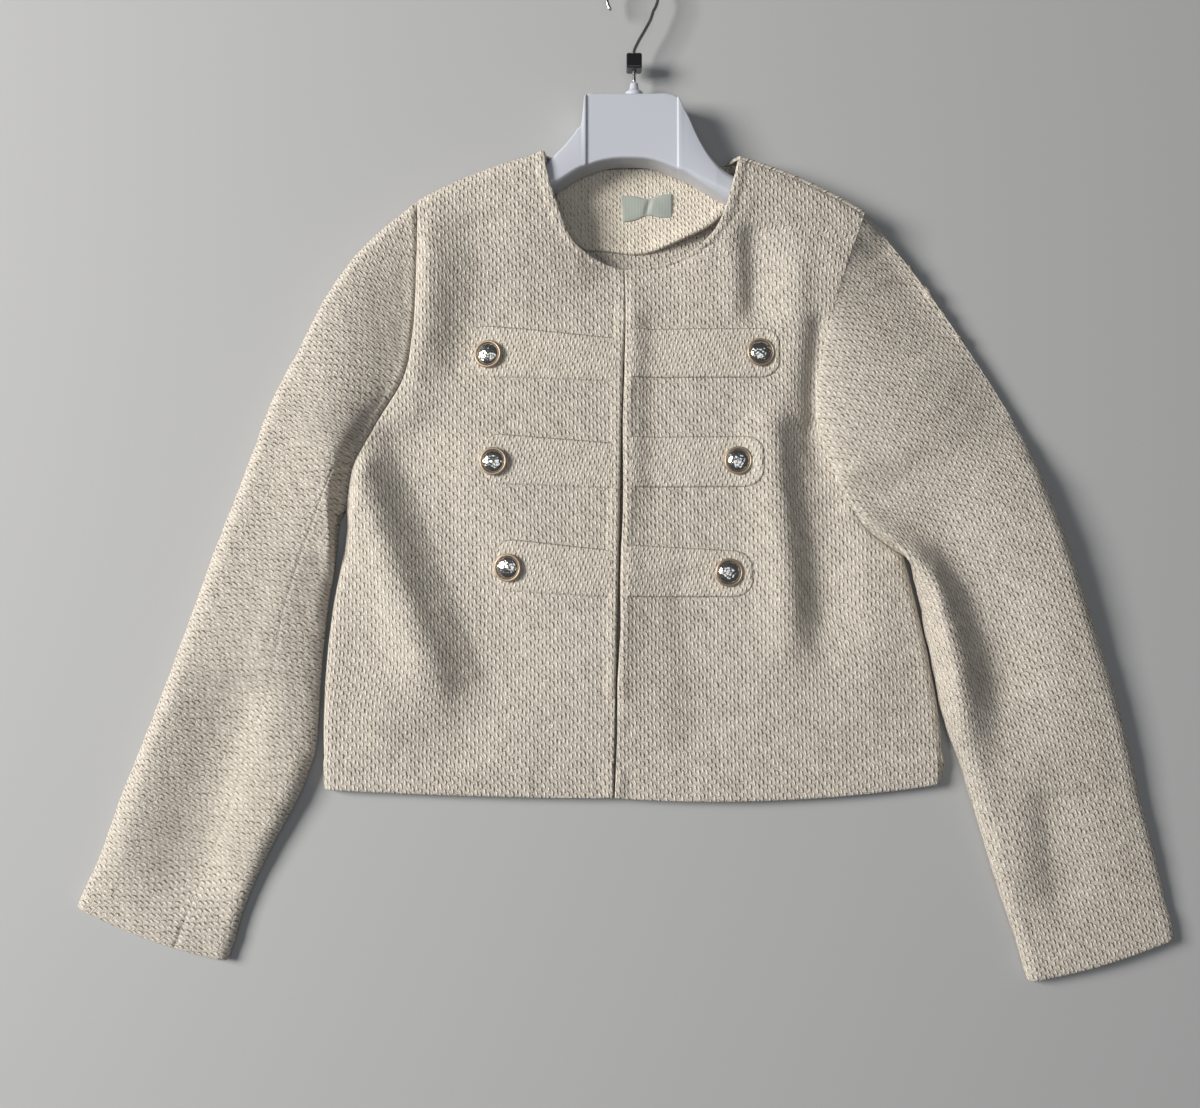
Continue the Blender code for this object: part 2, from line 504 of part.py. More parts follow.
def back_side_row(v, spread, columns_share):
    """A row below the underarm: round the side, flat across, and round the other side."""
    grid = {}
    for side in SIDE:
        side_x = float(read(SIDE[side], "x", v))
        inset = float(side_inset(side, v))
        edge = float(edge_height(side, v))
        x, y, z = front_before_shoulder(side, np.array([1.0]), np.array([v]))
        start = math.acos(1 - inset / SIDE_ROLL)
        top = edge if inset == 0 else edge + (z[0] - edge) / math.sin(start)
        angle = mix(start, -0.5 * math.pi, np.arange(ROLL_COLUMNS + 1) / ROLL_COLUMNS)
        round_x = side_x - math.copysign(1, side_x) * SIDE_ROLL * (1 - np.cos(angle))
        round_z = np.where(angle > 0, edge + (top - edge) * np.sin(angle), edge * (1 + np.sin(angle)))
        grid[side] = (round_x, round_z, float(y[0]))
    x = spread(grid["right"][0][-1], grid["left"][0][-1], FRONT_U)
    rest = (FRONT_U[:-ROLL_COLUMNS]) / FRONT_U[-ROLL_COLUMNS - 1]
    right_flat = mix(x[len(FRONT_U) - 1], grid["right"][0][-1], rest)
    left_flat = mix(x[-len(FRONT_U)], grid["left"][0][-1], rest)
    right = np.concatenate([right_flat, grid["right"][0][-2::-1]])[::-1]
    left = np.concatenate([left_flat, grid["left"][0][-2::-1]])
    neck = x[len(FRONT_U):-len(FRONT_U)]
    x = np.concatenate([right, neck, left])
    z = np.zeros_like(x)
    z[:ROLL_COLUMNS + 1] = grid["right"][1]
    z[-ROLL_COLUMNS - 1:] = grid["left"][1][::-1]
    y_right = grid["right"][2]
    y_left = grid["left"][2]
    middle = float(read(CENTRE_FRONT, "y", v))
    y = np.where(columns_share < 0.5, mix(y_right, middle, np.minimum(1, 2 * columns_share)),
                 mix(middle, y_left, np.maximum(0, 2 * columns_share - 1)))
    return np.stack([x, y, z], -1)


def back_wrap_row(top, share):
    """A row of the back's wrap over the shoulder, from the surface at 0 to the seam at 1."""
    angle = mix(-0.5 * math.pi, top[:, 6], share)
    inward = SHOULDER_ROLL * (1 - np.cos(angle))
    x = top[:, 0] - top[:, 2] * inward
    y = top[:, 1] - top[:, 3] * inward
    half = top[:, 4]
    z = np.where(angle > 0, half + (top[:, 5] - half) * np.sin(angle), half * (1 + np.sin(angle)))
    return np.stack([x, y, z * top[:, 7]], -1)


# ---------------------------------------------------------------- shape of the sleeves
def sleeve_section(side, v, q):
    """Point of a sleeve's outer face before the armhole shapes its head.

    q counts round the sleeve as the armhole's points do: from the inner edge over the top to
    the outer edge at ARM_ROWS, round that edge in WRAP_ROWS, and back along the surface.
    """
    table = SLEEVE[side]
    inner = np.stack([read(table, "inner_x", v), read(table, "inner_y", v)], -1)
    outer = np.stack([read(table, "outer_x", v), read(table, "outer_y", v)], -1)
    top = read(table, "top", v)
    roll = read(table, "roll", v)
    across = outer - inner
    width = np.hypot(across[..., 0], across[..., 1])
    turn = roll / width
    edge = EDGE_SHARE * top

    over = 0.5 * (1 - np.cos(math.pi * np.clip(q / ARM_ROWS, 0, 1)))
    dome = top * mix(CROWN, 1.0, np.sin(math.pi * over))
    x_over = inner[..., 0] + across[..., 0] * over
    y_over = inner[..., 1] + across[..., 1] * over
    dome = dome + fold_height(side + " sleeve", x_over, y_over)
    z_over = mix(edge, dome, rise(over, turn) * rise(1 - over, turn))

    angle = -0.5 * math.pi * np.clip((q - ARM_ROWS) / WRAP_ROWS, 0, 1)
    share_round = 1 - turn * (1 - np.cos(angle))
    z_round = edge * (1 + np.sin(angle))

    floor = np.clip((q - ARM_ROWS - WRAP_ROWS) / BACK_ROWS, 0, 1)
    bend = 0.7
    flat = mix(1 - turn, turn, np.clip(floor / bend, 0, 1))
    last = 0.5 * math.pi * np.clip((floor - bend) / (1 - bend), 0, 1)
    share_floor = np.where(floor <= bend, flat, turn * (1 - np.sin(last)))
    z_floor = np.where(floor <= bend, 0, edge * (1 - np.cos(last)))

    share = np.where(q <= ARM_ROWS, over, np.where(q <= HIND_SEAM, share_round, share_floor))
    z = np.where(q <= ARM_ROWS, z_over, np.where(q <= HIND_SEAM, z_round, z_floor))
    bow = CUFF_BOW[side] * 4 * share * (1 - share) * ease((v - 0.8) / 0.2)
    x = inner[..., 0] + across[..., 0] * share
    y = inner[..., 1] + across[..., 1] * share - bow
    return np.stack([x, y, z], -1)


def armhole_loop(side, front, back):
    """The armhole's points, up the front's edge and down the back's, underarm to underarm."""
    front_edge = front[SIDE_ROWS:, -1]
    back_edge = back[SIDE_ROWS:, 0] if side == "right" else back[SIDE_ROWS:, -1]
    return np.concatenate([front_edge, back_edge[-2::-1]])


def away_from_armhole(side, loop):
    """Level directions from the armhole towards the sleeve, fading to nothing at the shoulder."""
    step = np.gradient(loop[:, :2], axis=0)
    step /= np.linalg.norm(step, axis=-1, keepdims=True)
    away = np.stack([step[:, 1], -step[:, 0]], -1) * (1 if side == "left" else -1)
    away[ARM_ROWS:] *= -1
    away[0] = away[1] + away[-2]
    away[0] /= np.linalg.norm(away[0])
    away[-1] = away[0]
    from_shoulder = np.abs(np.arange(len(loop)) - ARM_ROWS - 0.5 * WRAP_ROWS)
    return away * ease((from_shoulder - 0.5 * WRAP_ROWS) / 3)[:, None]


def sleeve_surface(side, loop, v, q):
    """Outer face of a sleeve at v from armhole to cuff and q round it, from any full turn."""
    turn = ARM_ROWS + WRAP_ROWS + BACK_ROWS
    q = np.mod(q, turn)
    section = sleeve_section(side, v, q)
    head = sleeve_section(side, np.zeros_like(v), q)
    index = np.arange(turn + 1)
    armhole = np.stack([np.interp(q, index, loop[:, k]) for k in range(3)], -1)
    shift = armhole - head
    spread = (1 - ease(v / HEAD_SPREAD))[..., None]
    lift = 1 - mix(ease(v / HEAD_RISE), rise(v, HEAD_RISE), HEAD_STEEPNESS[side])
    point = section + shift * spread
    point[..., 2] = section[..., 2] + shift[..., 2] * lift
    away = away_from_armhole(side, loop)
    push = HEAD_PUSH * rise(v, 0.06) * (1 - ease(v / HEAD_SPREAD))
    for k in range(2):
        point[..., k] += push * np.interp(q, index, away[:, k])
    return point


def sleeve_pieces(side, loop):
    """Outer faces of the top sleeve and the under sleeve."""
    v = (np.arange(SLEEVE_ROWS + 1) / SLEEVE_ROWS) ** 1.25
    v = v[:, None]
    turn = ARM_ROWS + WRAP_ROWS + BACK_ROWS
    seam = read(SLEEVE[side], "seam", v)
    first = int(seam[0, 0])
    top_share = np.arange(HIND_SEAM - first + 1)[None] / (HIND_SEAM - first)
    under_share = np.arange(turn + first - HIND_SEAM + 1)[None] / (turn + first - HIND_SEAM)
    top_q = mix(seam, HIND_SEAM, top_share)
    under_q = mix(HIND_SEAM, turn + seam, under_share)
    v_top = np.broadcast_to(v, top_q.shape)
    v_under = np.broadcast_to(v, under_q.shape)
    return sleeve_surface(side, loop, v_top, top_q), sleeve_surface(side, loop, v_under, under_q)


# ---------------------------------------------------------------- from faces to closed pieces
def face_normals(grid, outward):
    """Unit normals of a grid of points, on the side given by outward, 1 or -1."""
    along = np.gradient(grid, axis=0)
    across = np.gradient(grid, axis=1)
    normal = np.cross(across, along) * outward
    return normal / np.maximum(np.linalg.norm(normal, axis=-1, keepdims=True), 1e-9)


def border(shape):
    """True for the points on the edge of a grid."""
    edge = np.zeros(shape, bool)
    edge[0] = edge[-1] = True
    edge[:, 0] = edge[:, -1] = True
    return edge


def shared_offsets(grids, normals):
    """Direction and stretch of the wall at every point, the same where pieces share a point."""
    meeting = {}
    for name, grid in grids.items():
        for index in np.argwhere(border(grid.shape[:2])):
            key = tuple(np.round(grid[tuple(index)] / 0.02).astype(int))
            meeting.setdefault(key, []).append((name, tuple(index)))
    offsets = {name: normals[name].copy() for name in grids}
    for places in meeting.values():
        own = np.array([normals[name][index] for name, index in places])
        mean = own.sum(0)
        mean /= np.linalg.norm(mean)
        stretch = 1 / max(0.6, float(np.mean(own @ mean)))
        if len({name for name, _ in places}) > 2:
            stretch = CORNER_WALL
        for name, index in places:
            offsets[name][index] = mean * stretch
    return offsets


def drawn_in(grid, gap):
    """The same grid with its edge moved in by half a seam's gap.

    The next rows and columns move a little less each, so that none is overtaken by the edge.
    """
    moved = grid.copy()
    for axis in (0, 1):
        for turn in (1, -1):
            lines = np.moveaxis(grid, axis, 0)[::turn]
            out = np.moveaxis(moved, axis, 0)[::turn]
            walked = np.zeros(lines.shape[1])
            for k in range(SQUEEZED_LINES):
                step = lines[k + 1] - lines[k]
                length = np.linalg.norm(step, axis=-1)
                share = 0.5 * gap * np.maximum(0, 1 - walked / (SQUEEZE * gap))
                out[k] += step * (share / length)[:, None]
                walked += length
    return moved


def cloth_piece(name, outer, inner, made_of, outward):
    """One closed body from two grids of the same size, joined round their edges."""
    rows, columns = outer.shape[:2]
    count = rows * columns
    number = np.arange(count).reshape(rows, columns)
    a, b = number[:-1, :-1], number[:-1, 1:]
    c, d = number[1:, 1:], number[1:, :-1]
    face = np.stack([a, b, c, d], -1).reshape(-1, 4)
    rim = np.concatenate([number[0, :-1], number[:-1, -1], number[-1, :0:-1], number[:0:-1, 0]])
    following = np.roll(rim, -1)
    walls = np.stack([following, rim, rim + count, following + count], -1)
    faces = np.concatenate([face, face[:, ::-1] + count, walls])
    if outward < 0:
        faces = faces[:, ::-1]
    return new_object(name, np.concatenate([outer, inner]).reshape(-1, 3), faces.tolist(), made_of)


def sheet_piece(name, grid, thickness, made_of, outward):
    """A grid's open surface, given its thickness on its outer side by a Solidify modifier."""
    rows, columns = grid.shape[:2]
    number = np.arange(rows * columns).reshape(rows, columns)
    faces = np.stack([number[:-1, :-1], number[:-1, 1:], number[1:, 1:], number[1:, :-1]], -1)
    faces = faces.reshape(-1, 4)[:, ::outward]
    body = new_object(name, grid.reshape(-1, 3), faces.tolist(), made_of)
    wall = body.modifiers.new("wall", "SOLIDIFY")
    wall.thickness = thickness * MM
    wall.offset = 1
    wall.use_even_offset = True
    return body


def new_object(name, points, faces, made_of):
    mesh = bpy.data.meshes.new(name)
    mesh.from_pydata((np.asarray(points) * MM).tolist(), [], faces)
    mesh.validate()
    mesh.update()
    body = bpy.data.objects.new(name, mesh)
    bpy.data.collections[PART].objects.link(body)
    body.data.materials.append(made_of)
    return body


def material(name, colour, roughness, metallic=0.0):
    made = bpy.data.materials.new(name)
    made.use_nodes = True
    shader = made.node_tree.nodes["Principled BSDF"]
    shader.inputs["Base Color"].default_value = (*colour, 1)
    shader.inputs["Roughness"].default_value = roughness
    shader.inputs["Metallic"].default_value = metallic
    return made


# ---------------------------------------------------------------- cloth
# the side of each grid that faces out: 1 where columns and rows turn it up, -1 where down
OUTWARD = {"back_panel": -1, "front_right": -1, "front_left": 1,
           "sleeve_right_top": 1, "sleeve_right_under": 1,
           "sleeve_left_top": -1, "sleeve_left_under": -1}


def cloth_grids():
    """Outer faces of the seven pieces that make the jacket's body and sleeves."""
    fronts = {side: front_surface(side, FRONT_U[None], FRONT_V[:, None]) for side in SIDE}
    back = back_surface()
    grids = {"back_panel": back, "front_right": fronts["right"], "front_left": fronts["left"]}
    for side in SIDE:
        loop = armhole_loop(side, fronts[side], back)
        top, under = sleeve_pieces(side, loop)
        grids["sleeve_" + side + "_top"] = top
        grids["sleeve_" + side + "_under"] = under
    return grids


def build_cloth(tweed):
    grids = cloth_grids()
    normals = {name: face_normals(grid, OUTWARD[name]) for name, grid in grids.items()}
    offsets = shared_offsets(grids, normals)
    for name, grid in grids.items():
        inner = grid - CLOTH * offsets[name]
        cloth_piece(name, drawn_in(grid, SEAM_GAP), drawn_in(inner, INNER_GAP), tweed,
                    OUTWARD[name])
    return {side: surface_tree("front_" + side) for side in SIDE}


# ---------------------------------------------------------------- what is sewn on
def surface_tree(name):
    """A built piece's faces, to be looked up from above."""
    mesh = bpy.data.objects[name].data
    mesh.calc_loop_triangles()
    points = [vertex.co.copy() for vertex in mesh.vertices]
    triangles = [tuple(triangle.vertices) for triangle in mesh.loop_triangles]
    return BVHTree.FromPolygons(points, triangles)


def height_on(tree, x, y):
    """Height in millimetres of the highest face under each of the given points."""
    x, y = np.broadcast_arrays(x, y)
    down = Vector((0, 0, -1))
    heights = [tree.ray_cast(Vector((a * MM, b * MM, 1)), down)[0].z / MM
               for a, b in zip(x.ravel(), y.ravel())]
    return np.array(heights).reshape(x.shape)


def build_tab(row, tweed, front):
    """A strap on a front: its outer end is round, and its faces follow the front's."""
    u = np.array([0, 0.2, 0.4, 0.6, 0.76, 0.86, 0.93, 0.975, 1.0])[None]
    w = np.linspace(0, 1, 5)[:, None]
    length = abs(row.outer - row.inner)
    top = mix(row.top_in, row.top_out, u)
    low = mix(row.low_in, row.low_out, u)
    near_end = np.clip(1 - (1 - u) * length / TAB_CORNER, 0, 1)
    pinch = TAB_CORNER * (1 - np.sqrt(1 - 0.94 * near_end ** 2))
    x = np.broadcast_to(mix(row.inner, row.outer, u), (5, 9))
    y = mix(low + pinch, top - pinch, w)
    base = np.stack([x, y, height_on(front, x, y)], -1)
    outward = 1 if row.side == "left" else -1
    normal = face_normals(base, outward)
    sheet_piece(row.name, base + TAB_CLEARANCE * normal, TAB, tweed, outward)


def build_facing(plain):
    """The facing inside the back of the neck, flat on the back panel."""
    s = np.linspace(0, 1, 13)[None]
    w = np.linspace(0, 1, 3)[:, None]
    low_x, low_y = read(FACING_LOW, "x", s), read(FACING_LOW, "y", s)
    high_x, high_y = read(FACING_HIGH, "x", s), read(FACING_HIGH, "y", s)
    points = np.stack([mix(low_x, high_x, w), mix(low_y, high_y, w),
                       np.full((3, 13), CLOTH + SEAM_GAP)], -1)
    sheet_piece("back_neck_facing", points, FACING, plain, 1)


def build_label(cloth):
    """A bare label on the facing, a little narrower at its middle where it is stitched."""
    s = np.linspace(0, 1, 9)[None]
    w = np.linspace(0, 1, 3)[:, None]
    corners = np.array(LABEL_CORNERS, float)
    high = mix(corners[0], corners[1], s[..., None])
    low = mix(corners[3], corners[2], s[..., None])
    points = mix(low, high, w[..., None])
    points[..., 1] += LABEL_WAIST * np.sin(math.pi * s) * (0.5 - w)
    bottom = CLOTH + SEAM_GAP + FACING + SEAM_GAP
    lower = np.concatenate([points, np.full((3, 9, 1), bottom)], -1)
    sheet_piece("label", lower, LABEL, cloth, 1)


def turned(name, profile, segments, made_of):
    """A solid of revolution about Z from (radius, height) points, an outline from the axis to the
    axis, or a ring's closed outline."""
    count = len(profile)
    edges = [(i, i + 1) for i in range(count - 1)]
    if profile[0][0] > 0:
        edges.append((count - 1, 0))
    mesh = bpy.data.meshes.new(name)
    mesh.from_pydata([(r * MM, 0, z * MM) for r, z in profile], edges, [])
    body = bpy.data.objects.new(name, mesh)
    bpy.data.collections[PART].objects.link(body)
    body.data.materials.append(made_of)
    screw = body.modifiers.new("turned", "SCREW")
    screw.axis = "Z"
    screw.steps = segments
    screw.render_steps = segments
    screw.use_merge_vertices = True
    screw.merge_threshold = 0.01 * MM
    screw.use_normal_calculate = True
    screw.use_smooth_shade = False
    return body


def build_button(row, brass, silver):
    """A rim and a hammered dome inside it, lying on the tab."""
    parts = [turned(row.name + "_rim", RIM_SECTION, 22, brass),
             turned(row.name + "_dome", DOME_SECTION, 20, silver)]
    reach = BUTTON_REACH
    slope_x = (body_height(row.side, row.x + reach, row.y)
               - body_height(row.side, row.x - reach, row.y)) / (2 * reach)
    slope_y = (body_height(row.side, row.x, row.y + reach)
               - body_height(row.side, row.x, row.y - reach)) / (2 * reach)
    base = body_height(row.side, row.x, row.y) + TAB_CLEARANCE + TAB + BUTTON_CLEARANCE
    for part in parts:
        part.location = (row.x * MM, row.y * MM, float(base) * MM)
        part.rotation_euler = (math.atan(float(slope_y)), -math.atan(float(slope_x)), 0)


# ---------------------------------------------------------------- hanger
def hanger_slice(row):
    """Closed outline of the hanger across its length, a rectangle with rounded corners."""
    corner = row.corner
    centre = ((row.low + corner, HANGER_BOTTOM + corner), (row.high - corner, HANGER_BOTTOM + corner),
              (row.high - corner, row.top - corner), (row.low + corner, row.top - corner))
    points = []
    for index, (y, z) in enumerate(centre):
        for step in range(4):
            angle = math.pi * (1 + index / 2) + 0.5 * math.pi * step / 3
            points.append((row.x, y + corner * math.cos(angle), z + corner * math.sin(angle)))
    return points


def build_hanger(plastic):
    rings = [hanger_slice(row) for row in HANGER]
    count = len(rings[0])
    points = [point for ring in rings for point in ring]
    faces = [tuple(range(count - 1, -1, -1)),
             tuple(range(len(points) - count, len(points)))]
    for i in range(len(rings) - 1):
        for j in range(count):
            k = (j + 1) % count
            faces.append((i * count + j, i * count + k, (i + 1) * count + k, (i + 1) * count + j))
    new_object("hanger_body", points, faces, plastic)


def build_hook(steel, plastic):
    """The wire, its collar on the hanger's top, and the cube that is threaded on it."""
    start = HANGER_TOP + SEAM_GAP + COLLAR_LENGTH + SEAM_GAP
    sweep = np.radians(np.linspace(*HOOK_SWEEP, 22))
    arc = [(HOOK_CENTRE[0] + HOOK_RADIUS * math.cos(a), HOOK_CENTRE[1] + HOOK_RADIUS * math.sin(a))
           for a in sweep]
    wire_points = [(HOOK_X, start)] + HOOK_NECK + arc
    curve = bpy.data.curves.new("hook_wire", "CURVE")
    curve.dimensions = "3D"
    spline = curve.splines.new("POLY")
    spline.points.add(len(wire_points) - 1)
    for point, (x, y) in zip(spline.points, wire_points):
        point.co = (x * MM, y * MM, HOOK_Z * MM, 1)
    curve.bevel_depth = WIRE_RADIUS * MM
    curve.bevel_resolution = 2
    curve.use_fill_caps = True
    curve.materials.append(steel)
    wire = bpy.data.objects.new("hook_wire", curve)
    bpy.data.collections[PART].objects.link(wire)
    collar = turned("hook_collar", COLLAR_SECTION, 24, plastic)
    collar.location = (HOOK_X * MM, (HANGER_TOP + SEAM_GAP) * MM, HOOK_Z * MM)
    collar.rotation_euler = (-0.5 * math.pi, 0, 0)


def build_marker(plastic):
    """The cube on the hook, with the hole that the wire goes through."""
    bpy.ops.mesh.primitive_cube_add(size=MARKER * MM)
    cube = bpy.context.object
    cube.name = "size_marker"
    for owner in list(cube.users_collection):
        owner.objects.unlink(cube)
    bpy.data.collections[PART].objects.link(cube)
    cube.location = (HOOK_X * MM, MARKER_Y * MM, HOOK_Z * MM)
    cube.data.materials.append(plastic)
    bevel = cube.modifiers.new("corners", "BEVEL")
    bevel.width = MARKER_CORNER * MM
    bevel.segments = 2
    bpy.ops.mesh.primitive_cylinder_add(vertices=24, radius=(WIRE_RADIUS + SEAM_GAP) * MM,
                                        depth=2 * MARKER * MM)
    drill = bpy.context.object
    drill.name = "marker_hole_cutter"
    for owner in list(drill.users_collection):
        owner.objects.unlink(drill)
    bpy.data.collections["cutters"].objects.link(drill)
    drill.location = cube.location
    drill.rotation_euler = (0.5 * math.pi, 0, 0)
    drill.hide_render = True
    drill.display_type = "WIRE"
    hole = cube.modifiers.new("hole", "BOOLEAN")
    hole.operation = "DIFFERENCE"
    hole.solver = "EXACT"
    hole.object = drill


# ---------------------------------------------------------------- the whole
def build():
    for thing in list(bpy.data.objects):
        bpy.data.objects.remove(thing)
    for name in (PART, "cutters"):
        bpy.context.scene.collection.children.link(bpy.data.collections.new(name))
    tweed = material("cream_tweed", (0.76, 0.70, 0.60), 0.9)
    strap = material("cream_tweed_strap", (0.78, 0.73, 0.64), 0.88)
    plain = material("warm_facing", (0.62, 0.52, 0.40), 0.92)
    woven = material("label_weave", (0.80, 0.76, 0.70), 0.8)
    brass = material("pale_gold", (0.78, 0.64, 0.45), 0.3, 1.0)
    silver = material("hammered_silver", (0.80, 0.79, 0.76), 0.25, 1.0)
    plastic = material("white_plastic", (0.87, 0.86, 0.84), 0.25)
    black = material("black_plastic", (0.02, 0.02, 0.02), 0.2)
    steel = material("hook_steel", (0.72, 0.72, 0.72), 0.2, 1.0)
    fronts = build_cloth(tweed)
    for row in TABS:
        build_tab(row, strap, fronts[row.side])
    build_facing(plain)
    build_label(woven)
    for row in BUTTONS:
        build_button(row, brass, silver)
    build_hanger(plastic)
    build_hook(steel, plastic)
    build_marker(black)


build()
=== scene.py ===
# %% [markdown]
# # A cropped tweed jacket, laid flat with its hanger
#
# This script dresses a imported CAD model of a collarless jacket. The model gives every piece its
# place and its main form. Here each piece of cloth is made again as a thin shell on the same
# form, with turned edges, creases and a woven surface, and the small hard parts get their detail.
# The wearer's right side is at -X and the neck at +Y; the jacket lies on its back on Z = 0.

# %% The frame
import math
from collections import namedtuple

import bpy
import numpy as np
from mathutils import Matrix, Vector


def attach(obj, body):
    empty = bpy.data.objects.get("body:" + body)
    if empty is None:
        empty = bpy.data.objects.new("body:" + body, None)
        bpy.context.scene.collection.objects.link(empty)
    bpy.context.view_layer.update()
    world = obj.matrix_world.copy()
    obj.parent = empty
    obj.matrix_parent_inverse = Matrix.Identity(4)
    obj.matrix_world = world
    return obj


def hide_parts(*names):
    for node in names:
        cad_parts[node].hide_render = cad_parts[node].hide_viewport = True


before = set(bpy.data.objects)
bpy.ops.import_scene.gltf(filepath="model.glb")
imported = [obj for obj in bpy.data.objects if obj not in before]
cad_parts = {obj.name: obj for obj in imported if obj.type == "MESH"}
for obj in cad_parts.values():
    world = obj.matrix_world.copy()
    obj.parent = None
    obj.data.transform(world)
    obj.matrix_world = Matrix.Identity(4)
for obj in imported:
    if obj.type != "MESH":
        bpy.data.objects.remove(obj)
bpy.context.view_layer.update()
MM = 0.001
print("nodes to dress:", len(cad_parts))

# %% [markdown]
# ## Lengths
#
# All shapes are worked out in millimetres and written to the meshes in metres. The walls of the
# cloth, the turned edges and the seams have their sizes here. The tables that follow keep close
# to the CAD model, because the cloth has to lie on its solids; the creases are deeper than the
# model's, and the centre front and the left armhole are drawn a little finer.

# %% Sizes of the cloth
WALL = 2.1             # thickness of the tweed
SEAM_SINK = 0.9        # how far the cloth sinks into a seam,
SEAM_REACH = 2.6       # and from how far away
SEAM_RIDGE = 0.45      # how much the seam allowance lifts the cloth beside its seam
EDGE_ROLL = 2.4        # radius of a turned edge at the hem and the cuffs,
FACED_ROLL = 1.7       # and at the neck and the front
TURNED_IN = 0.75       # how much the cloth turned in behind a hem or a cuff lifts it,
FACED_IN = 1.3         # and behind a faced edge

UNDERARM = 0.48        # where the underarm lies, from 0 at the hem to 1 at the shoulder
NECK_BASE = 0.86       # where the centre front ends and the neckline starts, likewise
SIDE_ROLL = 8.0        # width over which the cloth turns round the side of the body
ARMHOLE_DIP = 14.0     # width over which a front sinks to its armhole seam
SHOULDER_ROLL = 13.0   # width over which the cloth turns over the shoulder
SHOULDER_BOW = 4.0     # how far the shoulder line swells at its middle
SHOULDER_HALF = 16.4   # height of the shoulder's silhouette at the neck
SHOULDER_DROP = 1.4    # and how much lower it is at the sleeve
HEM_BOW = {"right": 1.5, "left": 7.0}    # how far the hem bows down in the middle of a front
OUTWARD = {"right": -1, "left": 1}       # sign of what is mirrored between the two sides

# %% Tables of the outlines
def listed(kind, *rows):
    """Rows of one kind, whose columns have that kind's names."""
    return [kind(*row) for row in rows]


# at runs from 0 at the hem to 1 at the shoulder, or from one end of a piece to the other
Point = namedtuple("Point", "at x y")

SIDE = {
    "right": listed(Point, (0, -236.5, -256), (0.12, -238, -205), (0.2, -237, -172),
        (0.27, -234.5, -138), (0.335, -230.5, -107), (0.4, -224.5, -75), (0.455, -220.5, -48),
        (0.48, -221, -35)),
    "left": listed(Point, (0, 247, -252), (0.03, 250, -240), (0.09, 249, -218), (0.15, 246, -190),
        (0.2, 242.5, -170), (0.26, 238.5, -147), (0.32, 234.5, -128), (0.4, 228, -101),
        (0.48, 221, -73)),
}
ARMHOLE = {
    "right": listed(Point, (0.48, -221, -35), (0.55, -215.5, 0), (0.62, -199, 34),
        (0.69, -178.5, 68), (0.77, -170, 104), (0.86, -166.5, 146), (0.94, -165.5, 186),
        (1, -166.5, 211.5)),
    "left": listed(Point, (0.48, 221, -73), (0.51, 205, -62), (0.547, 190, -49),
        (0.585, 178, -31), (0.62, 169, -12), (0.675, 158.5, 18), (0.73, 153.5, 48),
        (0.771, 155, 73), (0.805, 158.5, 92), (0.852, 164.5, 118), (0.923, 175, 157),
        (1, 189.5, 198.5)),
}
BACK_ARMHOLE = {
    "right": listed(Point, (0, -221, -35), (0.2, -206, 8), (0.4, -188, 60), (0.62, -173, 118),
        (0.82, -166.5, 165), (1, -166.5, 198.5)),
    "left": listed(Point, (0, 221, -73), (0.2, 211, -22), (0.4, 200, 36), (0.62, 193, 98),
        (0.82, 190.5, 150), (1, 192, 191.5)),
}
CENTRE_FRONT = listed(Point, (0, -9.5, -262.5), (0.14, -8.2, -190), (0.28, -6.8, -128),
    (0.38, -5.6, -80), (0.48, -4.6, -34), (0.62, -3.2, 33), (0.72, -1.5, 84), (0.79, 0.2, 122),
    (0.86, -0.6, 157))
NECKLINE = {
    "right": listed(Point, (0.86, -0.6, 157), (0.893, -17, 162), (0.92, -32, 170),
        (0.945, -44, 182), (0.965, -53, 204), (0.983, -60, 226), (1, -64, 251)),
    "left": listed(Point, (0.86, 2.6, 157.5), (0.893, 24, 161), (0.92, 44, 166.5),
        (0.945, 60, 175), (0.965, 73, 189), (0.983, 82, 212), (1, 89.5, 242)),
}

# the fronts meet edge to edge, and gape a little in the middle
Gape = namedtuple("Gape", "at width")
GAPE = listed(Gape, (0, 0.8), (0.09, 1.9), (0.17, 1.3), (0.28, 2.6), (0.37, 1.4), (0.48, 2.5),
    (0.56, 1.9), (0.63, 1), (0.7, 1), (0.77, 0.2), (0.86, 0.2))

# a side seam that has rolled on to the top of the jacket lies this far inside the silhouette
Roll = namedtuple("Roll", "at inset")
SIDE_SEAM = {
    "right": listed(Roll, (0, 0), (0.48, 0)),
    "left": listed(Roll, (0, 0.8), (0.06, 4), (0.13, 5.8), (0.2, 5), (0.26, 2.4), (0.336, 0),
        (0.4, 0), (0.48, 0)),
}
# and a shoulder seam likewise, the same all along
SHOULDER_SEAM = {"right": 0.0, "left": 5.5}

# %% Tables of the heights
Level = namedtuple("Level", "at z")
LYING_HEIGHT = listed(Level, (-262, 10), (-200, 11), (-120, 12), (-40, 13), (40, 13.6),
    (110, 13.6), (157, 12.2), (255, 12.2))
SIDE_EDGE = listed(Level, (0, 4.4), (0.24, 5), (0.48, 6))
ARMHOLE_EDGE = {
    "right": listed(Level, (0.48, 6), (0.488, 8.2), (0.52, 8.8), (0.56, 9.6), (0.62, 10.5),
        (0.69, 12), (0.77, 14), (0.86, 18), (0.94, 24.5), (1, 27)),
    "left": listed(Level, (0.48, 6), (0.488, 8.2), (0.52, 8.6), (0.56, 9), (0.62, 8.4),
        (0.7, 9.2), (0.771, 11.6), (0.83, 15.6), (0.86, 20.4), (0.9, 25.2), (0.95, 27.6),
        (1, 28)),
}
NECK_LIFT = 21.4       # how much higher the cloth lies over the hanger at the neck
ARM_LIFT = 16.0        # and at the sleeve
LIFT_FLAT = 34.0       # the hanger's own depth below the shoulder line
LIFT_FALL = 105.0      # length over which the cloth comes down from it
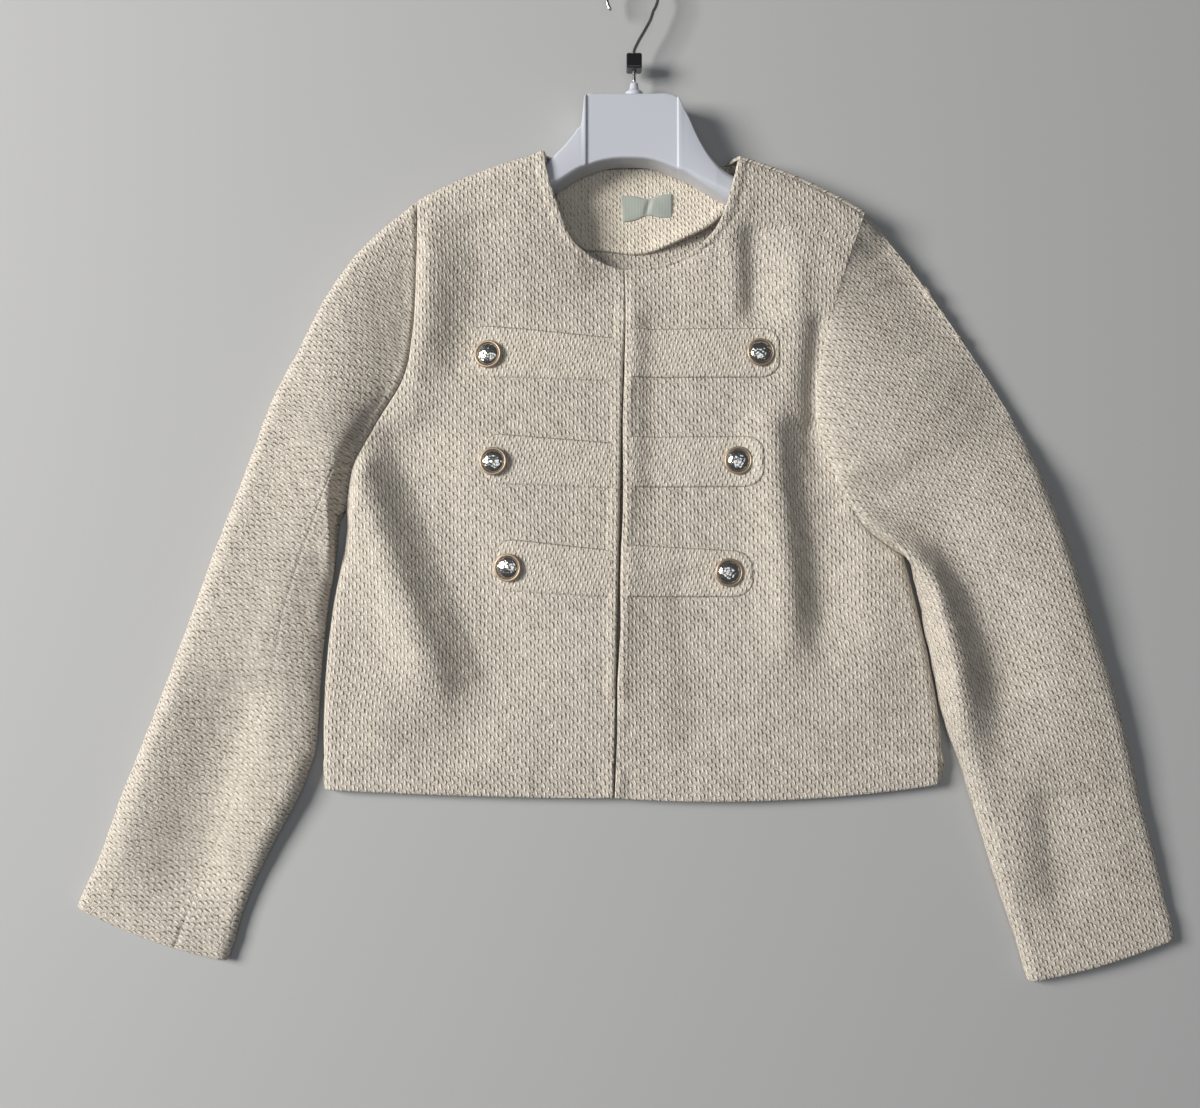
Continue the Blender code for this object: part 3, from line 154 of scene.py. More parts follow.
LIFT_INSIDE = 12.0     # half the width at the middle that the hanger doesn't lift
LIFT_OUTSIDE = 56.0    # and where it lifts in full
NECK_MIDDLE = 12.0     # X of the middle of the neck

# a crease follows a line of points downwards, comes up over the first part of it and fades out
# over the last; before is its width towards -X, after towards +X; a trough has a negative depth
Fold = namedtuple("Fold", "depth before after line")
FOLDS = {
    "front": listed(Fold, (3, 18, 16, ((-158, 200), (-158, 110), (-172, 55), (-180, 20))),
        (-4.8, 20, 30, ((-118, 200), (-116, 150), (-128, 100), (-138, 40))),
        (11, 23, 17,
         ((-216, 10), (-197, -45), (-181, -90), (-164, -132), (-148, -175), (-136, -215))),
        (-8.8, 19, 38,
         ((-188, 36), (-158, -35), (-138, -80), (-117, -124), (-98, -168), (-86, -210))),
        (2, 20, 22, ((-190, -160), (-190, -245))), (-3.6, 30, 36, ((-124, -165), (-130, -245))),
        (1.6, 9, 9, ((84, 190), (88, 110))), (-6.6, 10, 20, ((101, 190), (104, 150), (104, 105))),
        (3.6, 16, 11, ((136, 165), (134, 60), (138, -20))),
        (-6, 9, 9, ((158, 120), (155, 95), (152, 55), (155, 15), (172, -28))),
        (8.4, 20, 15, ((114, 48), (119, -10), (125, -60), (129, -115), (131, -180))),
        (-8, 16, 32, ((138, 40), (145, -10), (152, -60), (157, -115), (160, -182))),
        (-2.8, 7, 10, ((186, -22), (152, -38))), (2.6, 26, 26, ((194, -70), (192, -220))),
        (2.6, 6, 10, ((8, 140), (5, 50), (3, -40), (0, -150), (-4, -262))),
        (-2, 12, 26, ((26, 130), (24, 40), (26, -60))),
        (-3.6, 20, 40, ((44, -80), (56, -160), (62, -250))),
        (-1.5, 34, 34, ((-58, -110), (-60, -240)))),
    "right sleeve": listed(Fold, (-1.6, 22, 22, ((-262, 30), (-300, -140))),
        (3, 12, 26, ((-350, -170), (-368, -235), (-386, -290), (-400, -345))),
        (-10, 38, 26, ((-296, -165), (-318, -240), (-334, -300), (-350, -365))),
        (-4.5, 24, 24, ((-232, -70), (-238, -130), (-242, -200), (-246, -250))),
        (1.6, 24, 24, ((-214, 130), (-240, 20)))),
    "left sleeve": listed(Fold,
        (8, 12, 15, ((192, -16), (220, -62), (240, -100), (252, -145), (260, -190), (264, -255))),
        (-13, 18, 38, ((214, 0), (246, -56), (272, -100), (287, -145), (295, -190), (298, -265))),
        (1.8, 12, 12, ((300, -275), (308, -345))),
        (-4.6, 14, 28, ((328, -255), (334, -300), (340, -365))),
        (-3, 24, 30, ((222, 150), (246, 70))),
        (-13, 52, 40, ((218, 200), (264, 122), (296, 65), (330, -20))),
        (1.6, 24, 24, ((336, -40), (362, -150)))),
}
FOLD_OPEN = 0.35       # how far up a crease is where its line starts
FOLD_START = 0.12      # share of a crease's line over which it comes up
FOLD_FADE = 0.3        # and over which it fades out
FOLD_BLEND = 12.0      # over which a crease's one width changes to the other

# %% Tables of the sleeves
# outer and inner are the two edges seen from above, top is the height of the middle, roll the
# width over which it turns down at its edges, and seam where the forearm seam lies, counted
# from the inner edge in the armhole's points
Section = namedtuple("Section", "at outer_x outer_y inner_x inner_y top roll seam")
SLEEVE = {
    "right": listed(Section, (0, -166.5, 211.5, -221, -35, 24, 13, 4),
        (0.09, -209, 175, -225.5, -46, 26, 16, 4.5), (0.18, -240, 133.5, -228.3, -62, 26, 17, 5),
        (0.25, -260.5, 93, -229.5, -78, 25, 17, 5.1), (0.32, -281, 53, -231.8, -93, 24, 16, 5.1),
        (0.39, -295.5, 12.6, -234.4, -108, 23.5, 16, 5.3),
        (0.46, -310, -27.5, -236.6, -128, 23, 15, 5.5),
        (0.53, -325, -67.3, -238.6, -150, 22.5, 15, 5.6),
        (0.6, -338.5, -107, -240.2, -174, 22, 15, 5.5),
        (0.67, -352.3, -146.4, -241.5, -200, 21, 14, 5.6),
        (0.74, -366.5, -185.7, -244.5, -228, 20, 14, 6),
        (0.8, -381.6, -224.8, -256, -260, 18, 13, 5.8),
        (0.87, -396.7, -263.8, -275, -296, 15.5, 12, 5.5),
        (0.93, -410, -302.6, -292.5, -333, 12.5, 10, 5.5),
        (1, -428, -347, -311, -388, 10.4, 8, 5.5)),
    "left": listed(Section, (0, 189.5, 198.5, 221, -73, 25, 16, -2),
        (0.08, 215.8, 172.5, 223.5, -80, 27, 23, -2),
        (0.16, 246.4, 133.6, 226.5, -90, 28, 27, -2), (0.235, 274, 93.2, 229.8, -101, 28, 26, -2),
        (0.31, 299.1, 52.9, 233.5, -114, 27.5, 22, -2),
        (0.385, 321.4, 12.6, 235.4, -129, 27, 18, -2),
        (0.455, 338, -27.5, 239.4, -147, 26.5, 16, -2),
        (0.525, 352.1, -67.3, 243.4, -168, 25.5, 16, -2),
        (0.595, 363.8, -107, 247.4, -190, 24, 15, -2),
        (0.665, 375.5, -146.4, 254.2, -214, 22.5, 15, -2),
        (0.735, 386.7, -185.7, 262.5, -236, 21, 14, -2),
        (0.8, 395.8, -224.8, 270, -262, 19, 13, -2),
        (0.865, 403.8, -263.8, 280, -295, 16.5, 12, -2),
        (0.93, 413.7, -302.6, 290.5, -331, 14, 10, -2),
        (0.97, 421.5, -338, 301.5, -364, 12, 9, -2), (1, 428, -371, 314, -404, 11, 8, -2)),
}
CUFF_BOW = {"right": 4.0, "left": 3.0}   # how far a cuff's edge swells past a straight line
EDGE_SHARE = 0.38      # height of a sleeve's side edge, as a share of its height there
CROWN = 0.86           # height of a sleeve's top just inside its rolled edges, likewise
HEAD_SPREAD = 0.30     # share of the sleeve's length that takes up the armhole's curve
HEAD_RISE = 0.24       # and that over which the head rises from its seam
HEAD_PUSH = 4.0        # how far the rising head leans back from its seam
HEAD_STEEPNESS = {"right": 0.1, "left": 0.85}   # 0: it rises softly, 1: steeply

# %% Tables of what is sewn and set on
Tab = namedtuple("Tab", "name side inner outer top_in top_out low_in low_out")
TABS = listed(
    Tab,
    ("tab_right_top", "right", -3.5, -124, 101.5, 113.8, 66.6, 71.2),
    ("tab_right_middle", "right", -6.2, -113.5, 17.5, 25.9, -19, -14.7),
    ("tab_right_bottom", "right", -8, -102.8, -68, -57.5, -105.6, -99.3),
    ("tab_left_top", "left", 3.4, 123, 109.6, 109.8, 69.8, 69.6),
    ("tab_left_middle", "left", 1.6, 109.2, 22.7, 22.7, -17.9, -17.9),
    ("tab_left_bottom", "left", -0.4, 100.6, -63.2, -68.5, -104.8, -104.8))
TAB_CORNER = 15.0

Button = namedtuple("Button", "name side x y")
BUTTONS = listed(Button, ("button_right_top", "right", -109.1, 88.8),
    ("button_right_middle", "right", -104.4, 2.6), ("button_right_bottom", "right", -92.7, -81.5),
    ("button_left_top", "left", 107.7, 89.6), ("button_left_middle", "left", 89.2, 3),
    ("button_left_bottom", "left", 81.6, -85.4))
RIM_RADIUS = 11.2
RIM_HOLE = 9.2
DOME_RADIUS = 8.8
DOME_HEIGHT = 5.2

FACING_LOW = listed(Point, (0, -56, 200), (0.16, -35.4, 177.7), (0.3, -17.6, 175.2),
    (0.52, 15.6, 172.7), (0.68, 38.2, 179.8), (0.86, 68.4, 194.5), (1, 84, 209))
FACING_HIGH = listed(Point, (0, -55, 234), (0.3, -24, 242), (0.5, 8, 243), (0.8, 48, 242),
    (1, 73, 230))
LABEL_CORNERS = ((-3, 220.6), (38.4, 222.7), (38.3, 203.2), (-1.4, 199.1))
LABEL_WAIST = 6.5      # how much narrower the label is at its middle

# %% Table of the hanger
Slice = namedtuple("Slice", "x low high top corner")
HANGER = listed(Slice, (-124, 192, 213, 20.5, 6), (-121.5, 188, 219, 23.5, 8),
    (-116, 188, 223.5, 25, 9.5), (-102, 195, 231, 26.4, 9.5), (-84, 204.5, 237, 28.2, 9),
    (-70, 212, 239.4, 29.2, 8), (-62.8, 216.5, 240.6, 29.7, 7), (-54, 222, 248.6, 30, 5),
    (-46.2, 227.5, 256.3, 30, 4), (-38, 233, 267.5, 30, 3.5), (-34.3, 235.2, 275, 30, 3),
    (-32.8, 235.8, 291, 30, 2.5), (-31.4, 236.4, 294.6, 29.9, 2), (-30.2, 236.8, 295.6, 28.4, 2),
    (-22, 240, 296.2, 28.4, 2), (-10, 242.6, 296.2, 28.4, 2), (6, 243.3, 296.2, 28.4, 2),
    (22, 241.8, 296.2, 28.4, 2), (34, 237.8, 296.2, 28.4, 2), (41.2, 234.6, 293.8, 28.4, 2),
    (42.4, 234.1, 292.7, 29.9, 2), (44.5, 233, 289.5, 30, 2.5), (47, 231.8, 283.5, 30, 3),
    (50, 230.2, 278.3, 30, 3.5), (54.5, 227.5, 268, 30, 4), (59.3, 224.5, 257.9, 30, 4),
    (65.5, 220.5, 248, 30, 5), (72, 216.5, 240.1, 30, 6), (84.5, 208.5, 231.5, 29, 8),
    (100, 199, 229.5, 28.2, 9.5), (120, 192, 224.5, 27.2, 9.5), (136, 186, 218.5, 26.2, 9.5),
    (147, 183, 214, 25.4, 9.5), (152, 184.5, 209.5, 23.4, 8), (154, 188, 204, 20.5, 6))
HANGER_BOTTOM = 4.6
HANGER_TOP = 296.2     # Y of its upper edge, where the hook goes in
HOOK_X = 7.5
HOOK_Z = 15.5
WIRE_RADIUS = 1.5
COLLAR_LENGTH = 12.8
# the wire bends aside above the marker before it turns into the hook's round
HOOK_NECK = [(HOOK_X, 336.0), (10.2, 342.4), (16.4, 353.7), (21.6, 364.2)]
HOOK_CENTRE = (6.2, 381.6)
HOOK_RADIUS = 20.76
HOOK_SWEEP = (-35, 214)  # angles at which the round starts and ends
MARKER = 12.5
MARKER_Y = 326.2
MARKER_CORNER = 1.2

# %% [markdown]
# ## Curves through the tables
#
# A pattern maker fixes an outline by a few points and joins them with a smooth line. The helper
# `read` does the same: it runs a cubic through a column of a table. `rise` is the quarter circle
# of cloth that turns over an edge, and `ease` a change with level ends.

# %% Helpers for curves
def smooth_curve(xs, ys, x):
    """Cubic through the points, its slope at each one the mean of its two neighbours'."""
    xs, ys = np.asarray(xs, float), np.asarray(ys, float)
    steps = np.diff(ys) / np.diff(xs)
    slope = np.concatenate([steps[:1], np.empty(len(xs) - 2), steps[-1:]])
    before, after = np.diff(xs)[:-1], np.diff(xs)[1:]
    slope[1:-1] = (steps[:-1] * after + steps[1:] * before) / (before + after)
    x = np.clip(np.asarray(x, float), xs[0], xs[-1])
    i = np.clip(np.searchsorted(xs, x, side="right") - 1, 0, len(xs) - 2)
    width = xs[i + 1] - xs[i]
    t = (x - xs[i]) / width
    return ((1 + 2 * t) * (1 - t) ** 2 * ys[i] + t * (1 - t) ** 2 * width * slope[i]
            + t * t * (3 - 2 * t) * ys[i + 1] + t * t * (t - 1) * width * slope[i + 1])


def read(table, column, at):
    """A table's column at the given places along its first one."""
    return smooth_curve([row.at for row in table], [getattr(row, column) for row in table], at)


def rise(distance, width):
    """0 at an edge and 1 a width away, along a quarter circle: sqrt(1 - (1 - d / w)^2)."""
    return np.sqrt(1 - (1 - np.clip(distance / width, 0, 1)) ** 2)


def ease(t):
    """0 to 1 with level ends: 3 t^2 - 2 t^3."""
    t = np.clip(t, 0, 1)
    return t * t * (3 - 2 * t)


def mix(a, b, share):
    """a at share 0 and b at share 1, straight between them."""
    return a + (b - a) * share


def outline(lower, upper, split, at):
    """Points of an edge with a corner at split: one table below it and one above."""
    return tuple(np.where(at <= split, read(lower, k, at), read(upper, k, at)) for k in "xy")


def stations(length, step, ends=(0, 0.3, 0.7, 1.2, 1.9, 2.8, 4.0)):
    """Shares of a length a step apart, with extra ones close to both ends for a turned edge."""
    near = np.array(ends) / length
    middle = np.linspace(near[-1], 1 - near[-1], max(3, int(length / step)))
    return np.concatenate([near[:-1], middle, 1 - near[-2::-1]])


def reads(table, keys, at):
    """Several columns of a table side by side, on the last axis."""
    return np.stack([read(table, key, at) for key in keys], -1)


print("a station every 2 mm on 200 mm:", len(stations(200, 2)))

# %% [markdown]
# ## The fronts
#
# Each front is one sheet from the centre front to the side seam and the armhole. u runs across
# it and v up it, so that lines of equal u follow the cloth's grain roughly. Its height is that of
# the lying cloth, plus what the hanger lifts, plus the creases, and it turns down at the side.

# %% Creases
def from_crease(fold, k, x, y):
    """Distance from a crease's run number k, in widths of the side that a point is on, and the
    share of the whole crease that lies above the point."""
    start, end = fold.line[k], fold.line[k + 1]
    run = np.subtract(end, start)
    off_x, off_y = x - start[0], y - start[1]
    t = np.clip((off_x * run[0] + off_y * run[1]) / (run @ run), 0, 1)
    aside = (run[0] * off_y - run[1] * off_x) / np.hypot(*run)
    width = mix(fold.before, fold.after, ease(0.5 + aside / FOLD_BLEND))
    away = np.hypot(off_x - t * run[0], off_y - t * run[1]) / width
    return away, (k + t) / (len(fold.line) - 1)


def fold_height(piece, x, y):
    """Sum of soft humps and hollows: depth * fading * exp(-(distance to its line / width)^2)."""
    x, y = np.broadcast_arrays(x, y)
    total = np.zeros(x.shape)
    for fold in FOLDS[piece]:
        runs = np.stack([from_crease(fold, k, x, y) for k in range(len(fold.line) - 1)], 1)
        nearest = runs[0].argmin(0)[None]
        away, share = (np.take_along_axis(part, nearest, 0)[0] for part in runs)
        fading = ease(FOLD_OPEN + share / FOLD_START) - ease((share - 1 + FOLD_FADE) / FOLD_FADE)
        total = total + fold.depth * fading * np.exp(-away ** 2)
    return total


# %% Shoulder line and height of the body
def shoulder_line(side):
    """Neck end and sleeve end of a shoulder's silhouette, and the direction away from the body."""
    neck, arm = NECKLINE[side][-1], ARMHOLE[side][-1]
    run = np.array([arm.x - neck.x, arm.y - neck.y], float)
    away = np.array([-run[1], run[0]]) / np.hypot(*run)
    away *= math.copysign(1, away[1])
    shift = SHOULDER_SEAM[side] * away
    return np.array([neck.x, neck.y]) + shift, np.array([arm.x, arm.y]) + shift, away


def below_shoulder(side, x, y):
    """Distance of a point from the shoulder's silhouette, and share of the way to the sleeve."""
    neck, arm, away = shoulder_line(side)
    run = arm - neck
    share = np.clip(((x - neck[0]) * run[0] + (y - neck[1]) * run[1]) / (run @ run), 0, 1)
    below = -((x - neck[0]) * away[0] + (y - neck[1]) * away[1])
    return below + SHOULDER_BOW * 4 * share * (1 - share), share


def above_the_back(z):
    """Keeps a front off the back beneath it: a hyperbola from the lowest height up to z itself."""
    lowest, softness = 2 * WALL + 0.2, 1.5
    return 0.5 * (z + lowest + np.hypot(z - lowest, softness))


def body_height(side, x, y):
    """Height of a front's face: the lying cloth's, a cosine-shaped lift by the hanger, folds."""
    below, share = below_shoulder(side, x, y)
    fall = np.clip((below - LIFT_FLAT) / LIFT_FALL, 0, 1)
    aside = ease((np.abs(x - NECK_MIDDLE) - LIFT_INSIDE) / (LIFT_OUTSIDE - LIFT_INSIDE))
    lift = mix(NECK_LIFT, ARM_LIFT, share) * aside * 0.5 * (1 + np.cos(math.pi * fall))
    return above_the_back(read(LYING_HEIGHT, "z", y) + lift + fold_height("front", x, y))


# %% A front's face
def edge_height(side, v):
    """Height of a front's outer edge, up the side seam and the armhole."""
    return np.where(v <= UNDERARM, read(SIDE_EDGE, "z", v), read(ARMHOLE_EDGE[side], "z", v))


def side_inset(side, v):
    """How far inside the silhouette the side seam lies."""
    return np.where(v <= UNDERARM, np.maximum(0, read(SIDE_SEAM[side], "inset", v)), 0)


def front_before_shoulder(side, u, v):
    """A front's face before its shoulder is rolled: straight across from centre to side, and
    down a quarter circle at its outer edge."""
    centre_x, centre_y = outline(CENTRE_FRONT, NECKLINE[side], NECK_BASE, v)
    if side == "left":
        gape = read(GAPE, "width", np.minimum(v, NECK_BASE))
        centre_x = centre_x + np.where(v <= NECK_BASE, gape, 0)
    side_x, side_y = outline(SIDE[side], ARMHOLE[side], UNDERARM, v)
    inset = side_inset(side, v)
    seam_x = side_x - inset * np.sign(side_x)
    bow = 4 * u * (1 - u)
    away = shoulder_line(side)[2]
    swell = SHOULDER_BOW * bow * ease((v - NECK_BASE) / (1 - NECK_BASE))
    x = mix(centre_x, seam_x, u) + swell * away[0]
    y = (mix(centre_y, side_y, u) - HEM_BOW[side] * bow * (1 - ease(v / UNDERARM))
         + swell * away[1])
    roll = np.where(v <= UNDERARM, SIDE_ROLL, ARMHOLE_DIP)
    over = rise((1 - u) * np.abs(seam_x - centre_x) + inset, roll)
    return x, y, mix(edge_height(side, v), body_height(side, x, y), over)


def front_surface(side, u, v):
    """The same with the shoulder rolled down to its silhouette."""
    u, v = np.broadcast_arrays(u, v)
    x, y, z = front_before_shoulder(side, u, v)
    below, share = below_shoulder(side, x, y)
    half = SHOULDER_HALF - SHOULDER_DROP * share
    return np.stack([x, y, mix(half, z, rise(below, SHOULDER_ROLL))], -1)


# %% Stations of the fronts
FRONT_V = np.concatenate([UNDERARM * stations(222, 2.6)[:-1],
                          mix(UNDERARM, NECK_BASE, stations(190, 2.4)[:-1]),
                          mix(NECK_BASE, 1, stations(90, 2.2))])
FRONT_ACROSS = stations(210, 2.3)
fronts = {side: front_surface(side, FRONT_ACROSS[None], FRONT_V[:, None]) for side in SIDE}
print("points of a front:", fronts["left"].shape[:2])

# %% [markdown]
# ## The back
#
# The back lies flat on the floor, goes round the sides up to the side seams, and round the
# shoulders up to the shoulder seams. Its points are worked out row by row from hem to shoulder,
# with more of them where the cloth turns.

# %% How finely the back and the sleeves are divided
FINE = 8                    # steps to each of the CAD model's own
ARM_ROWS = 14 * FINE        # points of an armhole up the front
WRAP_ROWS = 4 * FINE        # round the shoulder
BACK_ROWS = 10 * FINE       # and down the back
HIND_SEAM = ARM_ROWS + WRAP_ROWS
TURN = ARM_ROWS + WRAP_ROWS + BACK_ROWS
ROLL_COLUMNS = 4 * FINE     # columns of the back round a side
SIDE_KEPT = 0.12            # share of that turn which goes on above the underarm,
SIDE_FADE = 0.16            # and over how much of the armhole it fades out
SIDE_SHARES = np.linspace(0, 1, 10 * FINE + 1)
ARM_V = mix(UNDERARM, 1, 0.5 * (1 - np.cos(math.pi * np.arange(ARM_ROWS + 1) / ARM_ROWS)))
BACK_SHARES = np.linspace(0, 1, BACK_ROWS + 1) ** 1.5
BACK_U = 1 - (1 - np.linspace(0, 1, 16 * FINE + 1)) ** 1.8
NECK_END = 0.09             # share of the neck over which the shoulder's wrap comes down to it
NECK_DIP = 4.0              # how far the back's edge dips between the shoulders
NECK_AWAY = 0.3             # share of its sideways direction that is left there
NECK_SHARES = np.concatenate([NECK_END * np.arange(1, 7) / 6, np.linspace(0.12, 0.88, 13),
                              1 - NECK_END * np.arange(6, 0, -1) / 6])


# %% The back's top edge
def back_seam_row():
    """For each column: silhouette point, direction away from the body, height where the wrap
    turns, height at its end, the angle that it ends at, and how much of the wrap is left."""
    columns = []
    for side, order in (("right", BACK_U[::-1]), ("left", BACK_U)):
        x, y, z = front_before_shoulder(side, order, np.ones_like(order))
        away = shoulder_line(side)[2]
        half = SHOULDER_HALF - SHOULDER_DROP * below_shoulder(side, x, y)[1]
        inset = SHOULDER_SEAM[side]
        angle = math.acos(1 - inset / SHOULDER_ROLL)
        same = np.ones_like(x)
        columns.append(np.stack([x + inset * away[0], y + inset * away[1], away[0] * same,
                                 away[1] * same, half, z, angle * same, same], -1))
    right, left = columns
    neck = mix(right[-1], left[0], NECK_SHARES[:, None])
    neck[:, 1] -= NECK_DIP * np.sin(math.pi * NECK_SHARES)
    neck[:, 2] *= NECK_AWAY
    stand = 1 - ease(np.minimum(NECK_SHARES, 1 - NECK_SHARES) / NECK_END)
    neck[:, 6] = left[0, 6] * np.where(NECK_SHARES > 0.5, stand, 0)
    neck[:, 7] = stand
    return np.concatenate([right, neck, left])


def back_wrap_row(top, share):
    """A row of the wrap over the shoulder, a half ellipse from the floor at 0 to the seam at 1."""
    angle = mix(-0.5 * math.pi, top[:, 6], share)
    inward = SHOULDER_ROLL * (1 - np.cos(angle))
    half = top[:, 4]
    z = np.where(angle > 0, half + (top[:, 5] - half) * np.sin(angle), half * (1 + np.sin(angle)))
    return np.stack([top[:, 0] - top[:, 2] * inward, top[:, 1] - top[:, 3] * inward,
                     z * top[:, 7]], -1)


# %% Rows below the underarm
def back_side_row(v, spread, share):
    """A row of the back below the underarm: round one side, flat across, round the other."""
    rolls, heights, ends = {}, {}, {}
    for side in SIDE:
        side_x, inset = float(read(SIDE[side], "x", v)), float(side_inset(side, v))
        edge = float(edge_height(side, v))
        _, y, z = front_before_shoulder(side, np.array([1.0]), np.array([v]))
        start = math.acos(1 - inset / SIDE_ROLL)
        top = edge if inset == 0 else edge + (z[0] - edge) / math.sin(start)
        angle = mix(start, -0.5 * math.pi, np.linspace(0, 1, ROLL_COLUMNS + 1))
        rolls[side] = side_x - math.copysign(1, side_x) * SIDE_ROLL * (1 - np.cos(angle))
        heights[side] = np.where(angle > 0, edge + (top - edge) * np.sin(angle),
                                 edge * (1 + np.sin(angle)))
        ends[side] = float(y[0])
    x = spread(rolls["right"][-1], rolls["left"][-1], BACK_U)
    rest = BACK_U[:-ROLL_COLUMNS] / BACK_U[-ROLL_COLUMNS - 1]
    right = mix(x[len(BACK_U) - 1], rolls["right"][-1], rest)
    left = mix(x[-len(BACK_U)], rolls["left"][-1], rest)
    x = np.concatenate([rolls["right"][:-1], right[::-1], x[len(BACK_U):-len(BACK_U)],
                        left, rolls["left"][-2::-1]])
    z = np.zeros_like(x)
    z[:ROLL_COLUMNS + 1] = heights["right"]
    z[-ROLL_COLUMNS - 1:] = heights["left"][::-1]
    middle = float(read(CENTRE_FRONT, "y", v))
    y = np.where(share < 0.5, mix(ends["right"], middle, np.minimum(1, 2 * share)),
                 mix(middle, ends["left"], np.maximum(0, 2 * share - 1)))
    return np.stack([x, y, z], -1)


# %% The whole back
def back_surface():
    """The back's outer face: columns from the wearer's right to left, rows from the hem up."""
    top = back_seam_row()
    contact = top[:, 0:2] - SHOULDER_ROLL * top[:, 2:4]
    first, last = contact[len(BACK_U) - 1, 0], contact[-len(BACK_U), 0]

    def spread(x_right, x_left, across):
        """X of every column of a row that runs between the two given ends."""
        return np.concatenate([mix(first, x_right, across[::-1]), mix(first, last, NECK_SHARES),
                               mix(last, x_left, across)])

    share = np.concatenate([0.5 * (1 - BACK_U[::-1]), np.full(len(NECK_SHARES), 0.5),
                            0.5 + 0.5 * BACK_U])
    rows = [back_side_row(UNDERARM * low, spread, share) for low in SIDE_SHARES]
    low = rows[-1]
    end = {side: np.array([BACK_ARMHOLE[side][-1].x, BACK_ARMHOLE[side][-1].y]) for side in SIDE}
    roof = contact - mix(end["right"], end["left"], share[:, None])
    straight = spread(end["right"][0], end["left"][0], BACK_U)
    for up in BACK_SHARES[1:]:
        ends = {side: reads(BACK_ARMHOLE[side], "xy", up) for side in SIDE}
        x = spread(ends["right"][0], ends["left"][0], BACK_U)
        x = x + (contact[:, 0] - straight) * up ** 2
        y = mix(ends["right"][1], ends["left"][1], share) + roof[:, 1] * up ** 2
        keep = SIDE_KEPT * (1 - ease(up / SIDE_FADE)) * (np.abs(share - 0.5) > 0.3)
        x = x + (low[:, 0] - spread(low[0, 0], low[-1, 0], BACK_U)) * keep
        rows.append(np.stack([x, y, low[:, 2] * keep], -1))
    rows += [back_wrap_row(top, k / WRAP_ROWS) for k in range(1, WRAP_ROWS + 1)]
    return np.stack(rows, 0)


back = back_surface()
print("points of the back:", back.shape[:2])

# %% [markdown]
# ## The sleeves
#
# A sleeve is a flattened tube. v runs down it from the armhole to the cuff and q round it, as
# the armhole's points are counted: from the inner edge over the top to the outer edge, round
# that edge, and back along the floor. Near the armhole the tube takes up the armhole's own curve.

# %% A sleeve's cross section
def sleeve_section(side, v, q):
    """Point of a sleeve before the armhole shapes its head: a half turn over the top that is
    domed and rolled at its edges, a quarter turn at the outer edge, and the floor."""
    table = SLEEVE[side]
    inner, outer = (reads(table, (edge + "_x", edge + "_y"), v) for edge in ("inner", "outer"))
    top, roll = read(table, "top", v), read(table, "roll", v)
    across = outer - inner
    turn = roll / np.hypot(across[..., 0], across[..., 1])
    edge = EDGE_SHARE * top

    over = 0.5 * (1 - np.cos(math.pi * np.clip(q / ARM_ROWS, 0, 1)))
    dome = top * mix(CROWN, 1.0, np.sin(math.pi * over))
    dome = dome + fold_height(side + " sleeve", inner[..., 0] + across[..., 0] * over,
                              inner[..., 1] + across[..., 1] * over)
    z_over = mix(edge, dome, rise(over, turn) * rise(1 - over, turn))

    angle = -0.5 * math.pi * np.clip((q - ARM_ROWS) / WRAP_ROWS, 0, 1)
    floor = np.clip((q - HIND_SEAM) / BACK_ROWS, 0, 1)
    bend = 0.7
    last = 0.5 * math.pi * np.clip((floor - bend) / (1 - bend), 0, 1)
    share_floor = np.where(floor <= bend, mix(1 - turn, turn, np.clip(floor / bend, 0, 1)),
                           turn * (1 - np.sin(last)))
    z_floor = np.where(floor <= bend, 0, edge * (1 - np.cos(last)))

    share = np.where(q <= ARM_ROWS, over,
                     np.where(q <= HIND_SEAM, 1 - turn * (1 - np.cos(angle)), share_floor))
    z = np.where(q <= ARM_ROWS, z_over,
                 np.where(q <= HIND_SEAM, edge * (1 + np.sin(angle)), z_floor))
    bow = CUFF_BOW[side] * 4 * share * (1 - share) * ease((v - 0.8) / 0.2)
    return np.stack([inner[..., 0] + across[..., 0] * share,
                     inner[..., 1] + across[..., 1] * share - bow, z], -1)


# %% The armhole and the sleeve's head
HEAD_LEAN = 0.06            # share of the sleeve's length over which that lean is reached


def armhole_loop(side):
    """The armhole's points, up the front's edge and down the back's, underarm to underarm."""
    front_edge = front_surface(side, np.ones_like(ARM_V), ARM_V)
    back_edge = back[len(SIDE_SHARES) - 1:, 0 if side == "right" else -1]
    return np.concatenate([front_edge, back_edge[-2::-1]])


def away_from_armhole(side, loop):
    """Level directions from the armhole towards the sleeve, fading out at the shoulder."""
    step = np.gradient(loop[:, :2], axis=0)
    step /= np.linalg.norm(step, axis=-1, keepdims=True)
    away = np.stack([step[:, 1], -step[:, 0]], -1) * OUTWARD[side]
    away[ARM_ROWS:] *= -1
    away[0] = away[1] + away[-2]
    away[0] /= np.linalg.norm(away[0])
    away[-1] = away[0]
    from_shoulder = np.abs(np.arange(len(loop)) - ARM_ROWS - 0.5 * WRAP_ROWS)
    return away * ease((from_shoulder - 0.5 * WRAP_ROWS) / (3 * FINE))[:, None]


